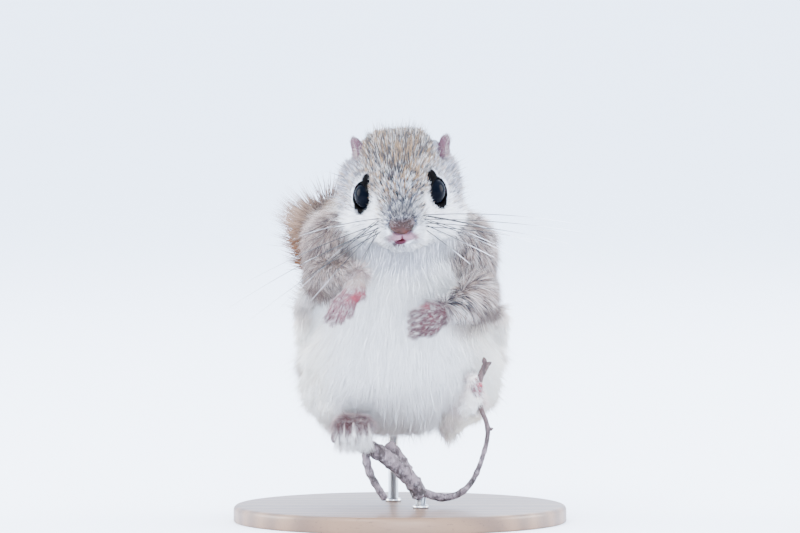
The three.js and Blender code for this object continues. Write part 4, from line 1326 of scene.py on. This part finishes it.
def grow_coat():
    """Short tufts on the head, hands and feet, longer bent ones over fine straight ones on the body."""
    h = to_head(skin_points)
    dense = 1 + 1.2 * part_of(skin_weights, "head") * ramp(20, 7, gap(h, NOSE_AT))
    dense = by_region(skin_weights, 3) * dense * (ramp(0.4, 0.1, bare_places(h)) * (1 - on_tail))
    root, normal = roots_on_skin(dense[skin_faces].mean(1), MOST_TUFTS)
    w = sample(shares, root)
    x, _, z = root.T
    length, width, rise = coat_sizes(root, w)
    lie = lie_of(root, normal, w)
    for cell, seed in ((2.8, 5), (1.2, 6)):
        lie = gathered(root, lie, normal, length, cell, 0.10 * (1 - 0.6 * part_of(w, *TRUNK)), seed)
    bend = RANDOM.normal(0, 0.09, len(root)) * length
    # the forearm's bands are longer, but end above its lower edge
    forearm = part_of(w, "forearm_left")
    banded = forearm * ramp(73, 68, z)
    above = np.where(x > 0, ramp(60.5, 62.5, z), 1)
    length = length * (1 + 0.35 * (banded * above))
    length = np.where(forearm > 0.4, np.clip((z - BANDS_END) / 0.8, 0.9, length), length)
    end = z + lie[:, 2] * length * np.cos(rise)
    tones = coat_tones(root, normal, w, end, banded, above)
    on_head = part_of(w, "head")
    fine = (length < 2.2) | (RANDOM.random(len(root)) < np.where(on_head < 0.5, 0.93, 0.55))
    groups = {
        "coat_head": (~fine & (on_head > 0.5), 2, "fur_grey"),
        "coat_face": (fine & (on_head > 0.5), 1, "fur_grey"),
        "coat_body": (~fine & (on_head <= 0.5), 2, "fur_white"),
        "coat_down": (fine & (on_head <= 0.5), 1, "fur_white"),
    }
    for name, (mask, rings, slot) in groups.items():
        size = [s[mask] for s in (length, width, rise, bend)]
        spread(name, root[mask], normal[mask], lie[mask], size, [tone[mask] for tone in tones], rings, slot)


grow_coat()


def grow_tail():
    """The tail's hair is combed out flat to both sides, longest at the edges."""
    dense = on_tail * (1 + 2.4 * ramp(0.78, 0.93, skin_tail_t))
    root, normal = roots_on_skin(20.0 * dense[skin_faces].mean(1), MOST_TAIL_TUFTS)
    count = len(root)
    z = root[:, 2]
    t, _, way, across, aside = tail_place(root)
    girth = np.interp(t, TAIL_T, TAIL_GIRTH)
    edge = np.clip(aside / (TAIL_CORE_WIDE * girth), -1, 1)
    end = ramp(0.86, 1.0, t)
    parting = np.clip((edge + RANDOM.normal(0, 0.14, count)) / 0.2, -1, 1)
    fan = (0.35 * parting + 0.9 * edge) * (1 - 0.45 * end)
    lie = way * (0.75 + end)[:, None] + across * fan[:, None] + np.array([0, 0, 0.6]) * end[:, None]
    lie = lie + 0.16 * np.stack([waves(root, 7, seed) for seed in (41, 42, 43)], 1)
    lie = lie + RANDOM.normal(0, 0.07, (count, 3))
    lie = unit(lie - 0.75 * normal * dot(lie, normal))
    low_left = ramp(76, 70, z) * ramp(58, 64, z) * (edge < 0)
    high_left = ramp(74, 80, z) * (edge < 0)
    wide = (1.2 - 0.3 * low_left + 0.15 * high_left + 0.05 * end) * TAIL_HALF_WIDTH * girth
    full = ramp(0.35, 0.95, np.maximum(np.abs(edge), end))
    short = 4.8
    length = (short + ((wide - np.abs(aside)) / 0.72 - short) * full) * RANDOM.uniform(0.65, 1.08, count)
    width = RANDOM.uniform(0.2, 0.38, count) * (1 - 0.3 * end)
    rise = np.radians(RANDOM.uniform(3, 26, count)) * (1.15 - np.abs(edge))
    lie = gathered(root, lie, normal, length, 2.0, 0.10, 8)
    tone = markings(root, normal, sample(shares, root))
    tone = np.clip(tone * (1 + RANDOM.normal(0, 0.10, (count, 1))), 0, 0.95)
    dark = RANDOM.random(count) < 0.22
    tone = mixed(tone, SLATE, 0.5 * dark)
    low = mixed(tone, SLATE, 0.55 - 0.4 * ramp(0.7, 0.9, t))
    tip = mixed(tone, TAIL_HAIR_TIP, np.where(dark, 0.25, 0.5))
    bend = RANDOM.normal(0, 0.08, count) * length
    flat = unit(normal + 0.5 * across * edge[:, None])
    spread("coat_tail", root, flat, lie, (length, width, rise, bend), [low, tone, tip], 2, "fur_brown")


grow_tail()


# Eyes, nose, claws and whiskers


def eye_piece(side, node):
    """A ball with a slight bulge over its front."""
    polar = np.linspace(0, math.pi, 40)
    line = np.stack([0 * polar, 0 * polar, -np.cos(polar)], 1)
    radius = np.maximum(np.sin(polar), 1e-4)
    points, faces = tube(line, np.array([1.0, 0, 0]), radius, radius, 48)
    points = unit(points)
    bulge = 0.3 * ramp(0.55, 1.0, points @ unit(sided(EYE_LOOKS, side)))
    points = points * (EYE_RADIUS - 0.05 + bulge[:, None])
    ob = make_mesh("glossy_" + node, from_head(points + sided(EYE_AT, side)), faces)
    place(ob, eye_gloss, "eye_black", node)


eye_piece(1, "eye_left")
eye_piece(-1, "eye_right")


def nose_form(at):
    """The nose leather: a broad pad with a wing at each side, comma nostrils and a groove to the lip."""
    field = lump(at, (0, 0.1, 0.2), (3.1, 2.35, 2.5))
    for s in SIDES:
        field = blend_in(field, lump(at, (1.95 * s, -0.3, -0.7), (1.5, 1.9, 1.5)), 0.9)
    field = blend_in(field, lump(at, (0, -0.5, -1.9), (1.7, 1.5, 1.3)), 0.9)
    for s in SIDES:
        inner = capsule(at, (1.15 * s, -2.6, -1.35), (1.9 * s, -2.3, -1.0), 0.36)
        outer = capsule(at, (1.9 * s, -2.3, -1.0), (3.2 * s, -1.3, -0.55), 0.26)
        field = carve(carve(field, inner, 0.3), outer, 0.25)
    return carve(field, capsule(at, (0, -2.75, 0.9), (0, -2.4, -3.4), 0.18), 0.4)


def nose_surface(step):
    return fine_form((-4.8, -3.6, -4.4), (4.8, 3.6, 4.2), step, nose_form)


nose_points, nose_faces = nose_surface(0.13)
nose_piece = make_mesh("nose_leather", from_head(nose_points + NOSE_AT), nose_faces)
place(nose_piece, nose_leather, "skin_pink", "nose")


def nose_down():
    """Short dark and white hair over the upper edge of the nose, pointing up and out."""
    points, faces = nose_surface(0.2)
    corner = points[faces]
    middle = corner.mean(1)
    cross = np.cross(corner[:, 1] - corner[:, 0], corner[:, 2] - corner[:, 0])
    dense = 22 * ramp(-1.2, 0.8, middle[:, 2]) + 30 * ramp(0.4, 1.6, middle[:, 2])
    pick = np.repeat(np.arange(len(faces)), RANDOM.poisson(np.linalg.norm(cross, axis=1) / 2 * SHARE * dense))
    count = len(pick)
    middle = middle[pick]
    root = from_head(middle + RANDOM.normal(0, 0.08, (count, 3)) + NOSE_AT)
    normal = unit(cross[pick]) @ HEAD_TURN.T
    way = unit(middle * [1, 0, 1] + [0, 0.6, 1.2]) @ HEAD_TURN.T
    lie = unit(way - normal * dot(way, normal) + 1e-6)
    length, width = RANDOM.uniform(0.7, 1.5, count), RANDOM.uniform(0.09, 0.17, count)
    rise, bend = np.radians(RANDOM.uniform(5, 26, count)), RANDOM.normal(0, 0.12, count)
    high = ramp(0.5, 1.8, middle[:, 2])
    low = mixed(NOSE_DOWN, SLATE, high)
    tip = mixed(low, mixed(*NOSE_DOWN_TIPS, high), 0.85 * (RANDOM.random(count) < 0.22 + 0.14 * high))
    tones = [low, mixed(low, tip, np.full(count, 0.8)), tip]
    tuft_mesh("coat_nose", root, normal, lie, (length, width, rise, bend), tones, 2, "fur_grey")


nose_down()


def claw(path, thick, size):
    """One hooked claw at the end of a digit whose path is given."""
    tip, way = path[-1], unit(path[-1] - path[-2])
    down = np.array([0, 0, -1.0])
    t = np.linspace(0, 1, 9)[:, None]
    line = tip - 0.5 * way + way * size * 1.3 * t * (1 - 0.35 * t) + down * size * 0.62 * t * t
    radius = thick * 0.52 * (1 - t[:, 0]) ** 0.7 + 0.03
    wide = np.cross(way, down) + 1e-3
    return tube(line, wide, radius * 0.8, radius, 10)


claw_sizes = zip(FINGERS, (0.95, 0.95, 1.0, 0.95), (1.9, 1.3, 1.9, 1.5))
claws = [
    claw(np.array(digit)[-2:, :3], thick, size) for digits, thick, size in claw_sizes for digit in digits
]
place(make_mesh("claws", *joined(claws)), horn, "claw")


# on each side: how light the tips are, how many degrees each whisker droops, and its length
WHISKERS = {
    1: (1.0, (-3, -1, 1, 3, 7, 14, 22, 32, 5, 12), (47, 49, 45, 40, 36, 30, 24, 18, 26, 22)),
    -1: (0.72, (6, 16, 22, 29, 36, 44, 54, 20, 33, 66), (26, 44, 52, 48, 40, 32, 26, 26, 20, 18)),
}


def whiskers():
    """Long bristles from the pads beside the nose: level on the left side, drooping on the right."""
    meshes, colours = [], []
    pick = np.random.default_rng(3)
    t = np.linspace(0, 1, 22)[:, None]
    radius = 0.115 * (1 - t[:, 0]) ** 0.8 + 0.04
    for side, (pale, droops, lengths) in WHISKERS.items():
        shade = mixed(WHISKER_ROOT, WHISKER_TIP * pale, ramp(0.42, 0.85, t[:, 0]))
        for k, (droop, length) in enumerate(zip(droops, lengths)):
            row, column = divmod(k, 4)
            start = [side * (4.7 + 0.8 * row), -16.6 + 1.3 * row, -1.2 - 1.15 * column - 0.5 * row]
            angle = math.radians(droop + pick.uniform(-2, 2))
            way = np.array([side * math.cos(angle), -0.10 - 0.25 * pick.random(), -math.sin(angle)])
            sag = np.array([0, 0.22, -0.10 * pick.uniform(0.5, 1.5)])
            line = from_head(np.array(start)) + unit(way) * length * t + sag * length * t * t
            meshes.append(tube(line, np.array([0, 0.3, 1.0]), radius, radius, 6))
            colours.append(np.vstack([np.repeat(shade, 6, axis=0), shade[:1], shade[-1:]]))
    place(make_mesh("whiskers", *joined(meshes), np.vstack(colours)), bristle, "whisker")


whiskers()


# The perch and the stand


AROUND_TWIG = 28


def twig(name, stops, knots, seed, node, buds=()):
    """A twig with ridged bark, a swollen ring of scars at each knot, and buds: place, way and size."""
    stops = np.array(stops)
    stops[:, :3] -= TWIG_DROP
    reach = np.linalg.norm(np.diff(stops[:, :3], axis=0), axis=1).sum()
    line = along_stops(stops, max(40, int(reach / 0.3)))
    t = np.linspace(0, 1, len(line))
    radius = line[:, 3] * np.minimum(1, ((1 - (2 * t - 1) ** 2) * 9 + 0.03) ** 0.3)
    for k in range(1, knots + 1):
        radius = radius * (1 + 0.16 * np.exp(-(((t - k / (knots + 1)) * reach / 0.9) ** 2)))
    points, faces = tube(line[:, :3], np.array([0.2, 1, 0.1]), radius, radius, AROUND_TWIG)
    centre = np.vstack([np.repeat(line[:, :3], AROUND_TWIG, axis=0), line[:1, :3], line[-1:, :3]])
    girth = np.concatenate([np.repeat(radius, AROUND_TWIG), [0, 0]])
    rough = 0.05 * waves(points, 2.4, seed) + 0.035 * waves(points * [1, 1, 0.5], 0.9, seed + 1)
    meshes = [(points + unit(points - centre) * (girth * rough)[:, None], faces)]
    t = np.linspace(0, 1, 12)[:, None]
    for at, way, size in buds:
        bud_line = np.array(at) - TWIG_DROP + unit(np.array(way, float)) * size * t
        plump = size * 0.34 * np.sin(np.pi * np.clip(t[:, 0] ** 0.8, 0.03, 0.985)) ** 0.7
        meshes.append(tube(bud_line, np.array([0.3, 1, 0.2]), plump, plump, 12))
    place(make_mesh(name, *joined(meshes)), bark, "bark", node)


BRANCH_BUDS = (((-9.5, -18.6, 28.0), (-0.3, 0.2, 1), 2.0),)
SIDE_BUDS = (
    ((25.6, -16.4, 50.4), (0.9, 0, 0.5), 2.0),
    ((25.4, -16.4, 50.6), (-0.2, -0.2, 1), 2.4),
    ((26.4, -15.8, 31.0), (1, 0, 0.4), 1.6),
)
twig("bark_branch", BRANCH, 6, 51, "perch_branch", BRANCH_BUDS)
twig("bark_spur", SPUR, 2, 53, "perch_spur")
twig("bark_hanger", HANGER, 4, 55, "perch_hanger")
twig("bark_side_twig", SIDE_TWIG, 7, 57, "perch_side_twig", SIDE_BUDS)


def lathe(name, profile, material, slot, node, at=(0, 0), around=40):
    """A turned piece from its profile of radii and heights."""
    profile = np.array(profile, float)
    turn = np.linspace(0, 2 * math.pi, around, endpoint=False)
    ring = np.stack([np.cos(turn), np.sin(turn), 0 * turn], 1)
    line = np.stack([0 * profile[:, 1] + at[0], 0 * profile[:, 1] + at[1], profile[:, 1]], 1)
    points = (line[:, None] + ring[None] * profile[:, 0][:, None, None]).reshape(-1, 3)
    place(make_mesh(name, points, bands(len(profile), around)), material, slot, node)


def rounded(radius, height, edge, start, end, count):
    """The profile of a rounded edge round that corner."""
    turns = np.linspace(start, end, count)
    return [(radius + edge * math.cos(a), height + edge * math.sin(a)) for a in turns]


CENTRE = 0.01
STAND_RADIUS = 50.0
STAND_HIGH = 5
upper_edge = rounded(STAND_RADIUS - 1.4, 3.6, 1.4, 0, math.pi / 2, 9)
lower_edge = rounded(STAND_RADIUS - 0.6, 0.6, 0.6, -math.pi / 2, 0, 5)
disc = [(CENTRE, 0), *lower_edge, *upper_edge, (40, STAND_HIGH), (20, STAND_HIGH), (CENTRE, STAND_HIGH)]
lathe("stand_disc", disc, wood, "stand_wood", "stand_base", around=160)
ROD_RADIUS = 1.5
for name, x, y in (("stand_rod_perch", 6.2, -13.6), ("stand_rod_body", -2, 12)):
    low, high = (c[2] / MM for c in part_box(name))
    low -= 0.3
    collar = [(CENTRE, low), (2.4, low), (2.4, low + 0.7), (2.1, low + 1.1), (ROD_RADIUS, low + 1.2)]
    top = [(ROD_RADIUS, high - 0.1), (ROD_RADIUS - 0.1, high), (CENTRE, high)]
    lathe("satin_" + name, collar + top, steel, "steel", name, (x, y))


# Camera, light and floor

IMAGE_WIDTH = 800
PIXEL_MM = 0.30
SENSOR_MM = 36
CAMERA_AWAY = 2500.0
CAMERA_HIGH = math.radians(3)
CAMERA_TARGET = np.array([0, 0, 76.65])
camera = bpy.data.objects.new("camera", bpy.data.cameras.new("camera"))
bpy.context.collection.objects.link(camera)
away = np.array([0, -math.cos(CAMERA_HIGH), math.sin(CAMERA_HIGH)])
camera.location = Vector((CAMERA_TARGET + away * CAMERA_AWAY) * MM)
camera.rotation_euler = Vector(-away).to_track_quat("-Z", "Y").to_euler()
camera.data.sensor_width = SENSOR_MM
camera.data.lens = SENSOR_MM * CAMERA_AWAY / (IMAGE_WIDTH * PIXEL_MM)
camera.data.clip_end = 500
bpy.context.scene.camera = camera

FLOOR_WIDE = 120000.0
floor_corners = np.array([[-1, -1, 0], [1, -1, 0], [1, 1, 0], [-1, 1, 0]]) * FLOOR_WIDE / 2
floor_piece = make_mesh("floor", floor_corners, np.array([[0, 1, 2, 3]]))
floor_piece.data.materials.append(floor_paper.made)

world = bpy.data.worlds.new("studio")
bpy.context.scene.world = world
world.use_nodes = True
sky = Nodes(world.node_tree)
high = sky.node("SeparateXYZ", out=2, Vector=sky.node("TexCoord", out="Generated"))
sky_colour = sky.mix((0.41, 0.52, 0.72, 1), (0.65, 0.79, 1.0, 1), high.between(-0.1, 0.75))
background = world.node_tree.nodes["Background"].inputs
feed(sky.tree, background["Color"], sky_colour)
background["Strength"].default_value = 6.2


def lamp(name, place_m, size, power, colour):
    light = bpy.data.lights.new(name, "AREA")
    light.shape, light.size, light.energy, light.color = "DISK", size, power, colour
    ob = bpy.data.objects.new(name, light)
    bpy.context.collection.objects.link(ob)
    ob.location = place_m
    ob.rotation_euler = (Vector((0, 0, 0.07)) - Vector(place_m)).to_track_quat("-Z", "Y").to_euler()


lamp("key", (-0.5, -0.9, 1.1), 0.7, 22.0, (1.0, 0.95, 0.88))
lamp("side_left", (1.2, 0.2, 0.4), 0.8, 40.0, (1.0, 0.96, 0.92))
lamp("side_right", (-1.2, 0.2, 0.4), 0.8, 40.0, (1.0, 0.96, 0.92))
lamp("low", (0.1, -1.2, 0.10), 0.6, 24.0, (0.95, 0.97, 1.0))
lamp("back", (0.3, 1.0, 0.9), 0.8, 12.0, (0.95, 0.97, 1.0))
